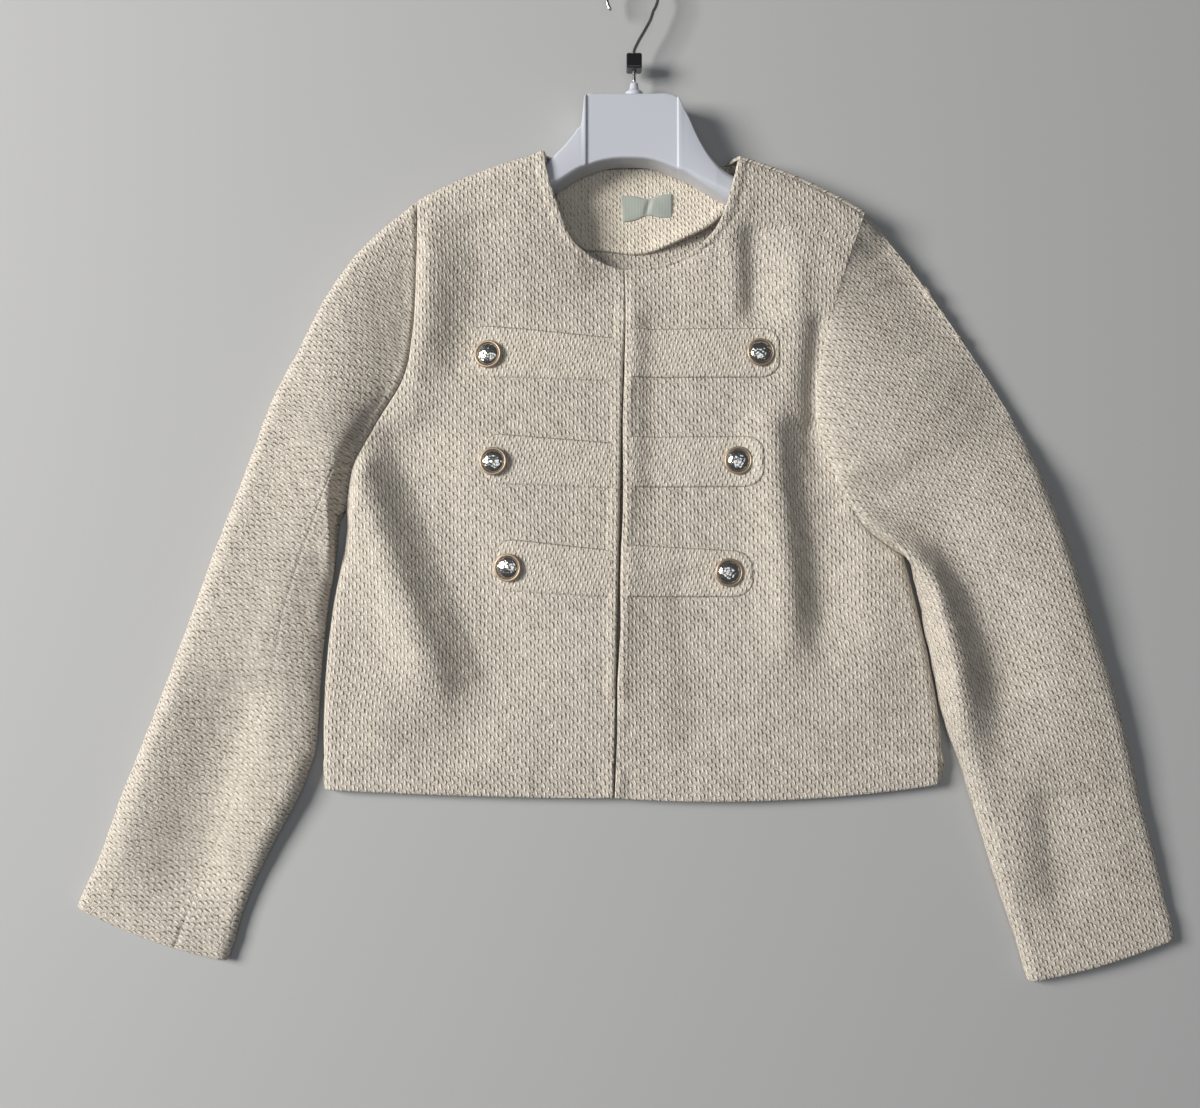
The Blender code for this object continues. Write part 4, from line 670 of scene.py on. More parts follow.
def sleeve_surface(side, loop, v, q):
    """A sleeve's outer face: its section, shifted near v = 0 so that it starts on the armhole."""
    q = np.mod(q, TURN)
    section = sleeve_section(side, v, q)
    head = sleeve_section(side, np.zeros_like(v), q)
    index = np.arange(TURN + 1)
    shift = np.stack([np.interp(q, index, loop[:, k]) for k in range(3)], -1) - head
    spread = (1 - ease(v / HEAD_SPREAD))[..., None]
    lift = 1 - mix(ease(v / HEAD_RISE), rise(v, HEAD_RISE), HEAD_STEEPNESS[side])
    point = section + shift * spread
    point[..., 2] = section[..., 2] + shift[..., 2] * lift
    away = away_from_armhole(side, loop)
    push = HEAD_PUSH * rise(v, HEAD_LEAN) * (1 - ease(v / HEAD_SPREAD))
    for k in range(2):
        point[..., k] += push * np.interp(q, index, away[:, k])
    return point


# %% Both pieces of each sleeve
SLEEVE_V = stations(430, 2.6) ** 1.1
SLEEVE_COLUMNS = {"top": 132, "under": 110}
sleeves = {}
for side in SIDE:
    loop = armhole_loop(side)
    v = SLEEVE_V[:, None]
    seam = read(SLEEVE[side], "seam", v) * FINE
    for piece, start, end in (("top", seam, HIND_SEAM), ("under", HIND_SEAM, TURN + seam)):
        q = mix(start, end, np.linspace(0, 1, SLEEVE_COLUMNS[piece])[None])
        sleeves[side, piece] = sleeve_surface(side, loop, np.broadcast_to(v, q.shape), q)
print("points of a top sleeve:", sleeves["left", "top"].shape[:2])

# %% [markdown]
# ## From a grid of points to a shell of cloth
#
# A real edge of tweed is never a knife edge: at a free edge the cloth is folded in, so it turns
# down in a small round, and at a seam both sides sink into a soft groove. Both are made the same
# way: every point moves along the surface's normal by an amount that depends on its distance
# from the edge. A Solidify modifier then gives the sheet its thickness on the inside.

# %% Distances, normals and edges
def walked(grid, axis):
    """Length walked along an axis of a grid of points, from its first line to each point."""
    step = np.linalg.norm(np.diff(grid, axis=axis), axis=-1)
    start = np.zeros_like(np.take(step, [0], axis))
    return np.concatenate([start, np.cumsum(step, axis=axis)], axis)


def normals_of(grid, outward):
    """Unit normals from the cross product of both directions, on the side that faces out."""
    normal = np.cross(np.gradient(grid, axis=1), np.gradient(grid, axis=0)) * outward
    return normal / np.maximum(np.linalg.norm(normal, axis=-1, keepdims=True), 1e-9)


def unevenness(s, t, seed):
    """A slow, even-tempered noise in -1 .. 1: a sum of eight sines in scattered directions."""
    rng = np.random.default_rng(seed)
    total = np.zeros(np.shape(s))
    for angle, wave, phase in rng.uniform((0, 7, 0), (math.pi, 26, 2 * math.pi), (8, 3)):
        total = total + np.sin(2 * math.pi * (s * math.cos(angle) + t * math.sin(angle)) / wave
                               + phase)
    return total / 4


# kinds of edge: pressed, soft and faint seams, none at all, and hems and faced edges, whose value
# is how far in they are stitched down
SEAM, SOFT, FAINT, NONE = "seam", "soft", "faint", "none"
HEM, FACED = 25.0, 8.5
DEPTH = {SEAM: 1.0, SOFT: 0.35, FAINT: 0.12}    # share of a pressed seam's depth
ARMHOLE_SEAM = {"right": SEAM, "left": FAINT}
ALLOWANCE = 4.2        # how far from a seam its allowance lifts the cloth most
TURN_END = 2.6         # over how much the lift of the turned-in cloth ends
STITCH_DRAW = 0.75     # how much a line of stitches draws the cloth in,
STITCH_PUCKER = 0.7    # how much that differs along it,
LINE_WIDTH = 2.0       # and how wide it is, like the ridge of an allowance
CALM_REACH = 14        # how far from a seam the cloth is calmer than elsewhere


def edge_profile(kind, away, pucker):
    """Height of the finished cloth against its form, at a distance from an edge of one kind."""
    if kind is NONE:
        return np.zeros_like(away)
    if kind in DEPTH:
        allowance = SEAM_RIDGE * np.exp(-((away - ALLOWANCE) / LINE_WIDTH) ** 2)
        groove = allowance - SEAM_SINK * (1 - ease(away / SEAM_REACH))
        return groove * DEPTH[kind]
    lifted, roll = (TURNED_IN, EDGE_ROLL) if kind == HEM else (FACED_IN, FACED_ROLL)
    turned = lifted * (1 - ease((away - kind) / TURN_END))
    pulled = (1.0 if kind == HEM else 1.5) * (STITCH_PUCKER * pucker - STITCH_DRAW)
    stitched = pulled * np.exp(-((away - kind) / LINE_WIDTH) ** 2)
    return turned + stitched - (roll + lifted) * (1 - rise(away, roll))


# the fronts' own edges keep this share of their depth between two Y above the tabs
MEETING = {"front_right": 0.6, "front_left": 0.3}
MEETING_LOW, MEETING_HIGH = 104, 157


def closely_met(cloth):
    """Share of its depth that a front's own edge keeps: above the tabs the fronts lie close."""
    y = cloth.grid[:, :1, 1]
    lost = (1 - MEETING.get(cloth.node, 1)) * ease((y - MEETING_LOW) / 16)
    return 1 - lost * (1 - ease((y - MEETING_HIGH) / 4))


def finished_edges(cloth):
    """A piece's grid with its four edges finished, and its normals, which fade to 0 at a seam.
    Where two edges meet, the lower profile counts."""
    grid = cloth.grid
    normal = normals_of(grid, cloth.outward)
    pucker = unevenness(cloth.uv[..., 0] * 1.6, cloth.uv[..., 1] * 1.6, 3)
    profiles, calm = [], 1.0
    for axis in (0, 1):
        start = walked(grid, axis)
        for kind, away in ((cloth.edges[2 * axis], start),
                           (cloth.edges[2 * axis + 1], np.take(start, [-1], axis) - start)):
            profiles.append(edge_profile(kind, away, pucker))
            if kind in DEPTH:
                calm = calm * ease(away / CALM_REACH)
    profiles[2] = profiles[2] * closely_met(cloth)
    high, low = np.max(profiles, axis=0), np.min(profiles, axis=0)
    finished = grid + normal * np.where(low < 0, low, high)[..., None]
    return finished, normal * np.expand_dims(calm, -1)


# %% Meshes
def mesh_piece(name, points, faces, material, **maps):
    """A new object at the origin from points in millimetres; maps gives each point's own place
    on one or more UV maps, and the map called cloth is in millimetres too."""
    mesh = bpy.data.meshes.new(name)
    mesh.from_pydata(np.asarray(points).reshape(-1, 3) * MM, [], np.asarray(faces).tolist())
    mesh.validate()
    mesh.shade_smooth()
    corner = np.empty(len(mesh.loops), dtype=np.int32)
    mesh.loops.foreach_get("vertex_index", corner)
    for key, place in maps.items():
        layer = mesh.uv_layers.new(name=key)
        scale = MM if key == "cloth" else 1.0
        layer.data.foreach_set("uv", (np.asarray(place).reshape(-1, 2)[corner] * scale).ravel())
    mesh.materials.append(material)
    piece = bpy.data.objects.new(name, mesh)
    bpy.context.scene.collection.objects.link(piece)
    return piece


def grid_faces(rows, columns, flip=False, closed=False):
    """Four corners of each face of a grid, by number; a closed one joins its last column."""
    number = np.arange(rows * columns).reshape(rows, columns)
    if closed:
        number = np.concatenate([number, number[:, :1]], 1)
    faces = np.stack([number[:-1, :-1], number[:-1, 1:], number[1:, 1:], number[1:, :-1]], -1)
    faces = faces.reshape(-1, 4)
    return faces[:, ::-1] if flip else faces


def solidify(piece, thickness):
    """A wall on the inner side of an open sheet."""
    wall = piece.modifiers.new("wall", "SOLIDIFY")
    wall.thickness, wall.offset = thickness * MM, -1
    return piece


def area_of(grid):
    """Area in square metres: half the cross product of the diagonals of each cell, summed."""
    a, b = grid[1:, 1:] - grid[:-1, :-1], grid[1:, :-1] - grid[:-1, 1:]
    return float(np.linalg.norm(np.cross(a, b), axis=-1).sum() / 2) * MM * MM


# %% [markdown]
# ## Where the weave lies on each piece
#
# A woven cloth has threads along it and across it, and they follow the piece as it was cut. So
# every piece has its own flat coordinates in millimetres, kept as a UV map called `cloth`. On
# the body they are X and Y. On a sleeve one runs along its outer edge and the other is the
# distance from that edge. Where the cloth slopes, the length that it gains is added.

# %% Flat coordinates
def with_slopes(grid, s, t, centre_column):
    """s grows by what the slope adds to each step across, counted from the given column."""
    flat = grid * np.array([1, 1, 0])
    extra = walked(grid, 1) - walked(flat, 1)
    extra = extra - extra[:, centre_column][:, None]
    sign = np.sign(np.gradient(s, axis=1))
    return np.stack([s + sign * extra, t], -1)


def along_outer_edge(side, grid):
    """Distance from a sleeve's outer edge and the length along it, for every point."""
    v = np.linspace(0, 1, 160)
    edge = reads(SLEEVE[side], ("outer_x", "outer_y"), v)
    length = np.concatenate([[0], np.cumsum(np.linalg.norm(np.diff(edge, axis=0), axis=-1))])
    point = grid[..., :2].reshape(-1, 1, 2)
    start, step = edge[:-1][None], np.diff(edge, axis=0)[None]
    t = ((point - start) * step).sum(-1) / (step ** 2).sum(-1)
    t[:, 1:-1] = np.clip(t[:, 1:-1], 0, 1)
    t[:, 0], t[:, -1] = np.minimum(t[:, 0], 1), np.maximum(t[:, -1], 0)
    away = np.linalg.norm(point - start - t[..., None] * step, axis=-1)
    nearest = away.argmin(1)
    pick = np.arange(len(nearest))
    s = away[pick, nearest].reshape(grid.shape[:2])
    along = (length[:-1] + t * np.diff(length))[pick, nearest].reshape(grid.shape[:2])
    return s * -OUTWARD[side], -along


# %% [markdown]
# ## Finishes
#
# A material is a small program of nodes. Written out node by node it is unreadable, so a wrapped
# socket takes Python's own operators: `1 - mask` adds the Math node that does it. Every other
# node comes from one method, `add`, which sets the node up and joins its sockets.

# %% Shader maths
class Socket:
    """One output of a node. Arithmetic on it adds Math nodes to its material."""

    def __init__(self, finish, output):
        self.finish, self.output = finish, output

    def math(self, operation, *values):
        return self.finish.add("ShaderNodeMath", {"operation": operation},
                               dict(enumerate(values)))

    def __add__(self, other):
        return self.math("ADD", self, other)

    def __sub__(self, other):
        return self.math("SUBTRACT", self, other)

    def __rsub__(self, other):
        return self.math("SUBTRACT", other, self)

    def __mul__(self, other):
        return self.math("MULTIPLY", self, other)

    def __truediv__(self, other):
        return self.math("DIVIDE", self, other)

    def __pow__(self, other):
        return self.math("POWER", self, other)

    __radd__, __rmul__ = __add__, __mul__


class Finish:
    """A material in the making, with its Principled shader's uniform values set at the start."""

    def __init__(self, name, **values):
        self.material = bpy.data.materials.new(name)
        self.material.use_nodes = True
        self.tree = self.material.node_tree
        self.shader = self.tree.nodes["Principled BSDF"]
        for key, value in values.items():
            self.shader.inputs[key.replace("_", " ")].default_value = value

    def add(self, kind, settings=None, inputs=None, output=0):
        """A node of any kind: its settings first, then its sockets' values or links."""
        node = self.tree.nodes.new(kind)
        for key, value in (settings or {}).items():
            if key == "stops":
                while len(node.color_ramp.elements) < len(value):
                    node.color_ramp.elements.new(0.5)
                for stop, (place, colour) in zip(node.color_ramp.elements, value):
                    stop.position, stop.color = place, (*colour, 1)
            else:
                setattr(node, key, value)
        for key, value in (inputs or {}).items():
            self.join(value, node.inputs[key])
        return Socket(self, node.outputs[output])

    def join(self, value, socket):
        if isinstance(value, Socket):
            self.tree.links.new(value.output, socket)
        else:
            socket.default_value = value

    def drive(self, name, value):
        """Feeds one of the shader's own sockets."""
        self.join(value, self.shader.inputs[name])

    def noise(self, place, scale, detail=2.0):
        return self.add("ShaderNodeTexNoise", {}, {"Vector": place, "Scale": scale,
                                                   "Detail": detail})

    def split(self, vector):
        """The three parts of a vector."""
        first = self.add("ShaderNodeSeparateXYZ", {}, {0: vector})
        return [Socket(self, output) for output in first.output.node.outputs]

    def blend(self, share, low, high):
        """A colour between two colours."""
        return self.add("ShaderNodeMix", {"data_type": "RGBA"}, {0: share, 6: low, 7: high},
                        output=2)

    def ramp(self, share, *stops):
        return self.add("ShaderNodeValToRGB", {"stops": stops}, {0: share})

    def bump(self, height, distance, strength=1.0):
        """Relief whose height of 1 stands for a distance in metres."""
        sockets = {"Height": height, "Strength": strength, "Distance": distance}
        self.drive("Normal", self.add("ShaderNodeBump", {}, sockets))


# %% [markdown]
# ## Tweed
#
# The cloth has thick warp yarns that float over the wefts in short, fat stitches, 3.1 mm apart,
# each column half a step further than the last. Between two floats a weft shows, and beside it
# a small hole. Height, colour and relief all come from that one pattern; the colour darkens with
# depth, a painted shade in the holes and over the sunk yarns. Its yarn is uneven, so each float
# has its own size and shade, and fine fibres blur it.

# %% The tweed's pattern
PITCH = 3.1            # from one column of floats to the next, in millimetres
REPEAT = 6.6           # from one float to the next in its column
SHIFT = 0.34           # how much each column is shifted at random, in repeats
FLOAT_LENGTH = 0.66    # least share of a repeat that a float covers,
FLOAT_MORE = 0.14      # and how much more the longest ones do
FLOAT_HALF = 0.56      # half the width of a float, in half columns,
FLOAT_LEAN = 0.35      # how much it leans over along its length,
HOOK_START = 0.76      # from which share of its length its end hooks over,
HOOK_STEEP = 3.2       # and how steeply
HOLE_AT = 0.82         # where the hole beside it lies, in half columns,
HOLE_HALF = 0.34       # and half the hole's width
TAB_CREVICE_SHADE = (0.34, 0.31, 0.28, 1)     # painted shade of the crevice round a tab


def tweed(name, hole, low, high, pitch=PITCH, repeat=REPEAT, relief=0.0012, turn=0.0, line=False):
    """A woven finish in three colours, from the holes over the sunk yarns to the floats, which
    darken with depth as painted shade in the hollows; line paints the shade of a crevice where
    the piece's own map called line says so."""
    made = Finish(name, Roughness=0.92, Sheen_Weight=0.12, Sheen_Roughness=0.5,
                  Specular_IOR_Level=0.2)
    place = made.add("ShaderNodeUVMap", {"uv_map": "cloth"})
    if turn:
        place = made.add("ShaderNodeMapping", {}, {"Vector": place, "Rotation": (0, 0, turn)})
    across, along, _ = made.split(place)
    wander = made.noise(place, 60.0, 1.0) - 0.5
    shiver = made.noise(place, 300.0, 1.0) - 0.5
    s = across * (1 / MM) + wander * 1.8 + shiver * 1.5
    t = along * (1 / MM) + wander * 2.6 - shiver * 2.2
    column = s / pitch
    column = column.math("FLOOR", column)
    lot = made.add("ShaderNodeTexWhiteNoise", {"noise_dimensions": "1D"}, {"W": column})
    step = t / repeat + column * 0.5 + lot * SHIFT
    row = step.math("FLOOR", step)
    g = step - row
    key = made.add("ShaderNodeCombineXYZ", {}, {0: column, 1: row})
    own = made.add("ShaderNodeTexWhiteNoise", {"noise_dimensions": "2D"}, {"Vector": key})

    middle = (s / pitch - column - 0.5) * 2.0
    along_float = g / (own * FLOAT_MORE + FLOAT_LENGTH)
    along_float = along_float.math("MINIMUM", along_float, 1.0)
    hook = (along_float - HOOK_START).math("MAXIMUM", along_float - HOOK_START, 0.0)
    leaning = middle + (along_float - 0.5) * FLOAT_LEAN + hook * HOOK_STEEP
    swell = along_float.math("SINE", along_float * math.pi)
    swell = swell.math("MAXIMUM", swell, 0.0) ** 0.4
    aside = 1 - (leaning / FLOAT_HALF) * (leaning / FLOAT_HALF)
    top = aside.math("MAXIMUM", aside, 0.0) ** 0.5 * swell * (own * 0.24 + 0.76)

    fine = made.add("ShaderNodeCombineXYZ", {}, {0: s * 0.45, 1: t * 1.15})
    ribs = made.noise(fine, 1.0, 1.0)
    pit = 1 - ((leaning - HOLE_AT) / HOLE_HALF) * ((leaning - HOLE_AT) / HOLE_HALF)
    pit = pit.math("MAXIMUM", pit, 0.0) * swell * (1.15 - own * 0.8)
    ground = ribs * 0.9 + 0.04 - pit * 0.5
    fibre = made.noise(place, 1100.0, 2.0) - 0.5
    height = top.math("MAXIMUM", top, ground) + fibre * 0.3
    made.bump(height, relief)

    # painted shade: the colour darkens with the pattern's depth, most in the holes, and each
    # float's own tone shifts it
    colour = made.ramp(height + (own - 0.5) * 0.1, (0.02, hole), (0.38, low), (0.90, high))
    tint = made.ramp(made.noise(place, 9.0, 2.0), (0.3, (0.93, 0.935, 0.925)),
                     (0.7, (1.0, 0.985, 0.95)))
    # painted shade of a crevice, where the map called line says so
    if line:
        edge, _, _ = made.split(made.add("ShaderNodeUVMap", {"uv_map": "line"}))
        tint = made.blend(edge, tint, TAB_CREVICE_SHADE)
    tinted = made.add("ShaderNodeMix", {"data_type": "RGBA", "blend_type": "MULTIPLY"},
                      {0: 0.8 if line else 0.6, 6: colour, 7: tint}, output=2)
    made.drive("Base Color", tinted)
    return made.material


# colours of the holes, the sunk yarns and the floats' tops: the two darker ones are painted shade
# of the weave's hollows
YARNS_DEPTH_SHADED = (0.14, 0.112, 0.088), (0.53, 0.474, 0.405), (0.82, 0.757, 0.678)
CREAM = tweed("cream_tweed_woven", *YARNS_DEPTH_SHADED)
ACROSS = tweed("cream_tweed_across", *YARNS_DEPTH_SHADED, turn=-1.19)
STRAP = tweed("strap_tweed_woven", (0.21, 0.172, 0.132), (0.55, 0.493, 0.425), (0.85, 0.786, 0.70),
              pitch=2.9, repeat=5.4, relief=0.0010, turn=0.36, line=True)
# the facing is the same tweed painted warmer and lighter: painted warm light bounced into the
# neck, lifting it against the shade there
WARM_BOUNCE_TWEED = tweed("neck_tweed_woven", (0.32, 0.255, 0.19), (0.72, 0.64, 0.535), (0.90, 0.825, 0.715),
             pitch=2.9, repeat=5.4, relief=0.0011)
print("finishes:", [made.name for made in (CREAM, ACROSS, STRAP, WARM_BOUNCE_TWEED)])

# %% [markdown]
# ## Body and sleeves
#
# Now the seven large pieces are made from their grids. Each stands for the CAD node of its own
# name and rides on the model's one body.

# %% Making a piece of cloth
Cloth = namedtuple("Cloth", "node grid outward edges uv flat rests material slot wall")


def dress(piece, node):
    """Puts a piece in the place of a CAD node: hides the node and hangs the piece on the body."""
    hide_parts(node)
    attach(piece, "root")
    return piece


def sharpen_soft_seams(mesh, cloth):
    """Parts the face's shading from the wall's at soft seams, which would darken it."""
    rows, columns = cloth.grid.shape[:2]
    ends = np.empty(2 * len(mesh.edges), dtype=np.int32)
    mesh.edges.foreach_get("vertices", ends)
    row, column = np.divmod(ends.reshape(-1, 2), columns)
    sharp = np.zeros(len(mesh.edges), bool)
    for kind, on_side in zip(cloth.edges, (row == 0, row == rows - 1,
                                           column == 0, column == columns - 1)):
        if kind in (SOFT, FAINT):
            sharp |= on_side.all(1)
    mesh.attributes.new("sharp_edge", "BOOLEAN", "EDGE").data.foreach_set("value", sharp)


UNEVEN = 0.25               # how far the cloth's slow unevenness goes in and out


def lay(cloth, **maps):
    """Builds a sheet, gives it its wall and its place in the frame."""
    grid, push = finished_edges(cloth)
    bumpy = unevenness(cloth.uv[..., 0], cloth.uv[..., 1], 7)
    grid = grid + push * (UNEVEN * bumpy)[..., None]
    grid[..., 2] = np.maximum(grid[..., 2], 0)
    piece = mesh_piece(cloth.node + "_cloth", grid,
                       grid_faces(*grid.shape[:2], flip=cloth.outward < 0), cloth.material,
                       cloth=cloth.uv, **maps)
    sharpen_soft_seams(piece.data, cloth)
    dress(solidify(piece, cloth.wall), cloth.node)
    min(area_of(cloth.grid), cloth.flat[0] * cloth.flat[1])
    print(f"{piece.name}: {grid.shape[0]} by {grid.shape[1]} points, "
          f"{area_of(cloth.grid) * 1e4:.0f} cm2")
    return piece


# %% The fronts and the back
for side in SIDE:
    grid = fronts[side]
    uv = with_slopes(grid, grid[..., 0], grid[..., 1], 0)
    lay(Cloth("front_" + side, grid, OUTWARD[side], (HEM, SEAM, FACED, ARMHOLE_SEAM[side]), uv,
              (0.27, 0.53), ["back_panel_cloth", "hanger_body"], CREAM, "cream_tweed", WALL))
coarse_back = back[::2, ::2]
uv = with_slopes(coarse_back, coarse_back[..., 0], coarse_back[..., 1],
                 coarse_back.shape[1] // 2)
lay(Cloth("back_panel", coarse_back, -1, (HEM, SEAM, SOFT, SOFT), uv, (0.54, 0.54), ["floor"],
          CREAM, "cream_tweed", WALL))

# %% The sleeves
for (side, piece), grid in sleeves.items():
    s, t = along_outer_edge(side, grid)
    uv = with_slopes(grid, s, t, grid.shape[1] // 2)
    forearm = (SOFT, SEAM) if piece == "top" else (SEAM, SOFT)
    lay(Cloth("sleeve_" + side + "_" + piece, grid, -OUTWARD[side],
              (ARMHOLE_SEAM[side], HEM, *forearm), uv, (0.24, 0.52),
              ["floor" if piece == "under" else "sleeve_" + side + "_under_cloth"],
              ACROSS if side == "right" else CREAM, "cream_tweed", WALL))

# %% [markdown]
# ## Tabs, facing and label
#
# Three straps of tweed lie on each front, sewn down so flat that only a thin line shows where
# they end: their edges sink a little, and painted shade darkens the crevice round them. Inside
# the neck is the facing, which lifts off the left front along its lower edge; its tweed is
# painted warmer and lighter for the warm light bounced into the neck. On it lies a small bare
# label of satin, pinched by the stitches at its middle.

# %% The six tabs
TAB_WALL = 0.9         # thickness of a tab
TAB_OFF = 0.2          # how far its underside is off the front
TAB_SINK = 0.8         # how far its edges are drawn in by their stitches,
TAB_EDGE = 1.9         # and over how much of it
TAB_ENDS = (0, 0.3, 0.7, 1.2, TAB_EDGE)     # where the points near its edges lie


def tab_grid(row):
    """A tab's face: its length from the centre front outwards, its outer end round. Also each
    point's distance from the tab's outline."""
    length = abs(row.outer - row.inner)
    u, w = np.broadcast_arrays(stations(length, 2.0, TAB_ENDS)[None],
                               stations(40, 1.6, TAB_ENDS)[:, None])
    near_end = np.clip(1 - (1 - u) * length / TAB_CORNER, 0, 1)
    pinch = TAB_CORNER * (1 - np.sqrt(1 - 0.94 * near_end ** 2))
    top, low = mix(row.top_in, row.top_out, u), mix(row.low_in, row.low_out, u)
    x, y = mix(row.inner, row.outer, u), mix(low + pinch, top - pinch, w)
    sides = np.minimum(w, 1 - w) * (top - low - 2 * pinch)
    away = np.minimum(sides, np.minimum(u, 1 - u) * length)
    height = body_height(row.side, x, y) + TAB_OFF + TAB_WALL
    return np.stack([x, y, height - TAB_SINK * (1 - ease(away / TAB_EDGE))], -1), away, w


for row in TABS:
    grid, away, w = tab_grid(row)
    # painted shade in the crevice round the tab, fading in from its outline; along the right tabs
    # it is stronger at the upper edge
    upper_edge_shade_more = mix(0.25, 1.0, ease((w - 0.5) / 0.3))
    strength = upper_edge_shade_more if row.side == "right" else 0.85
    line = strength * (1 - ease((away - 0.5) / 0.9))
    lay(Cloth(row.name, grid, OUTWARD[row.side], (NONE,) * 4, grid[..., :2], (0.122, 0.044),
              ["front_" + row.side + "_cloth"], STRAP, "cream_tweed_strap", TAB_WALL),
        line=np.stack([line, 0 * line], -1))

# %% The facing
FACING_Z = 2.75        # its underside lies on the back panel
FACING_WALL = 1.1      # and its face this much higher
FACING_LIFT = 5.2      # how far its lower edge stands up near the left front,
LIFTED_AT = 0.76       # where along it that is,
LIFTED_WIDTH = 0.15    # and over which share of it to each side
FACING_WAVE = 0.5      # height of the slow wave in its middle
s = np.linspace(0, 1, 110)[None]
w = stations(55, 2.0)[:, None]
flat = mix(reads(FACING_LOW, "xy", s), reads(FACING_HIGH, "xy", s), w[..., None])
lift = FACING_LIFT * np.exp(-((s - LIFTED_AT) / LIFTED_WIDTH) ** 2) * (1 - ease(w / 0.5))
wave = FACING_WAVE * np.sin(flat[..., 0] / 11) * np.sin(math.pi * w)
facing = np.concatenate([flat, (FACING_Z + FACING_WALL + lift + wave)[..., None]], -1)
lay(Cloth("back_neck_facing", facing, 1, (FACED, NONE, NONE, NONE), facing[..., :2],
          (0.16, 0.07), ["back_panel_cloth"], WARM_BOUNCE_TWEED, "warm_facing", 1.0))

# %% The label
satin = Finish("label_satin", Base_Color=(0.40, 0.43, 0.385, 1), Roughness=0.42, Sheen_Weight=0.3)
place = satin.add("ShaderNodeUVMap", {"uv_map": "cloth"})
across, along, _ = satin.split(place)
thread = along.math("SINE", along * 9000.0) * 0.5 + across.math("SINE", across * 5200.0) * 0.3
satin.bump(thread, 0.00012)
satin.drive("Roughness", 0.44 + thread * 0.08)
PINCHED_AT = 0.52      # where along the label its stitches pinch it
LABEL_PUFF = 1.5       # how far it stands up on both sides of them
LABEL_OFF = 1.85       # and its ends above the facing's underside
s, w = np.linspace(0, 1, 60)[None], np.linspace(0, 1, 30)[:, None]
above_left, above_right, below_right, below_left = np.array(LABEL_CORNERS, float)
flat = mix(mix(below_left, below_right, s[..., None]), mix(above_left, above_right, s[..., None]),
           w[..., None])
flat[..., 1] += LABEL_WAIST * np.exp(-((s - PINCHED_AT) / 0.2) ** 2) * (0.5 - w)
pinch = np.exp(-((s - PINCHED_AT - 0.1 * (w - 0.5)) / 0.055) ** 2)
puff = LABEL_PUFF * np.sin(math.pi * s) ** 0.5 * np.sin(math.pi * w) ** 0.5 * (1 - 0.85 * pinch)
label = np.concatenate([flat, (FACING_Z + LABEL_OFF + puff)[..., None]], -1)
lay(Cloth("label", label, 1, (NONE,) * 4, flat, (0.043, 0.021), ["back_neck_facing_cloth"],
          satin.material, "label_weave", 0.5))

# %% [markdown]
# ## Buttons
#
# A button is turned on a lathe: a half section of radius and height goes round an axis. Its rim
# is a narrow round band of pale gold. The dome is hammered: the dents are real, each a shallow
# bowl around its own point, because a polished dome shows every one of them.

# %% Turning
def turned_piece(name, section, segments, material, dents=None):
    """A surface of revolution about Z from (radius, height) pairs, listed from its underside."""
    section = np.array(section, float)
    angle = np.arange(segments) * 2 * math.pi / segments
    radius, height = section[:, :1], section[:, 1:]
    points = np.stack([radius * np.cos(angle), radius * np.sin(angle),
                       height + 0 * angle], -1)
    if dents is not None:
        points = dents(points)
    return mesh_piece(name, points, grid_faces(len(section), segments, closed=True), material)


def rounded(section, count=6, closed=False):
    """A section with each run divided evenly, so that it shades without long slivers."""
    ends = section[1:] + section[:1] if closed else section[1:]
    shares = np.linspace(0, 1, count, endpoint=False)
    runs = [mix(np.array(a, float), np.array(b, float), t) for a, b in zip(section, ends)
            for t in shares]
    return np.array(runs + [np.array(section[0 if closed else -1], float)])


# %% Finishes of the metal and the plastic
def grained(name, scale, rough, spread, **values):
    """A smooth finish whose roughness varies by a fine grain that is fixed to the piece."""
    made = Finish(name, **values)
    grain = made.noise(made.add("ShaderNodeTexCoord", output=3), scale)
    made.drive("Roughness", rough + grain * spread)
    return made.material


GOLD = grained("pale_gold_rim", 900.0, 0.42, 0.16, Base_Color=(0.46, 0.365, 0.27, 1),
               Metallic=0.9, Roughness=0.5)
SILVER = grained("hammered_silver_dome", 700.0, 0.10, 0.14, Metallic=1.0, Roughness=0.16,
                 Base_Color=(0.70, 0.675, 0.635, 1))
WHITE = grained("white_plastic_moulded", 260.0, 0.26, 0.1, Base_Color=(0.53, 0.55, 0.60, 1),
                Roughness=0.3, Coat_Weight=0.25, Coat_Roughness=0.12)
BLACK = grained("black_plastic_moulded", 300.0, 0.12, 0.1, Base_Color=(0.012, 0.012, 0.014, 1),
                Roughness=0.16, Coat_Weight=0.6, Coat_Roughness=0.05)
STEEL = grained("hook_steel_drawn", 500.0, 0.16, 0.14, Base_Color=(0.62, 0.62, 0.61, 1),
                Metallic=1.0, Roughness=0.2)

# %% The dome's dents
DENTS = 46
DENT_RADIUS = 1.4
DOME_FOOT = 1.4        # height at which the dome starts to round,
DENT_FLOOR = 1.6       # and from which on it is dented
golden = math.pi * (3 - math.sqrt(5))
turn = np.arange(DENTS) * golden
reach = DOME_RADIUS * 0.94 * np.sqrt((np.arange(DENTS) + 0.4) / DENTS)
shake = np.random.default_rng(5)
dent_centres = np.stack([reach * np.cos(turn), reach * np.sin(turn)], -1)
dent_centres += shake.uniform(-0.55, 0.55, dent_centres.shape)
dent_depths = shake.uniform(0.16, 0.42, DENTS)


def hammered(points):
    """Height lowered near each dent's centre by its depth * (1 - (distance / radius)^2)."""
    away = np.linalg.norm(points[:, :, None, :2] - dent_centres, axis=-1)
    bowls = (dent_depths * np.clip(1 - (away / DENT_RADIUS) ** 2, 0, 1)).max(-1)
    lowered = points.copy()
    lowered[..., 2] -= np.where(points[..., 2] > DENT_FLOOR, bowls, 0)
    return lowered


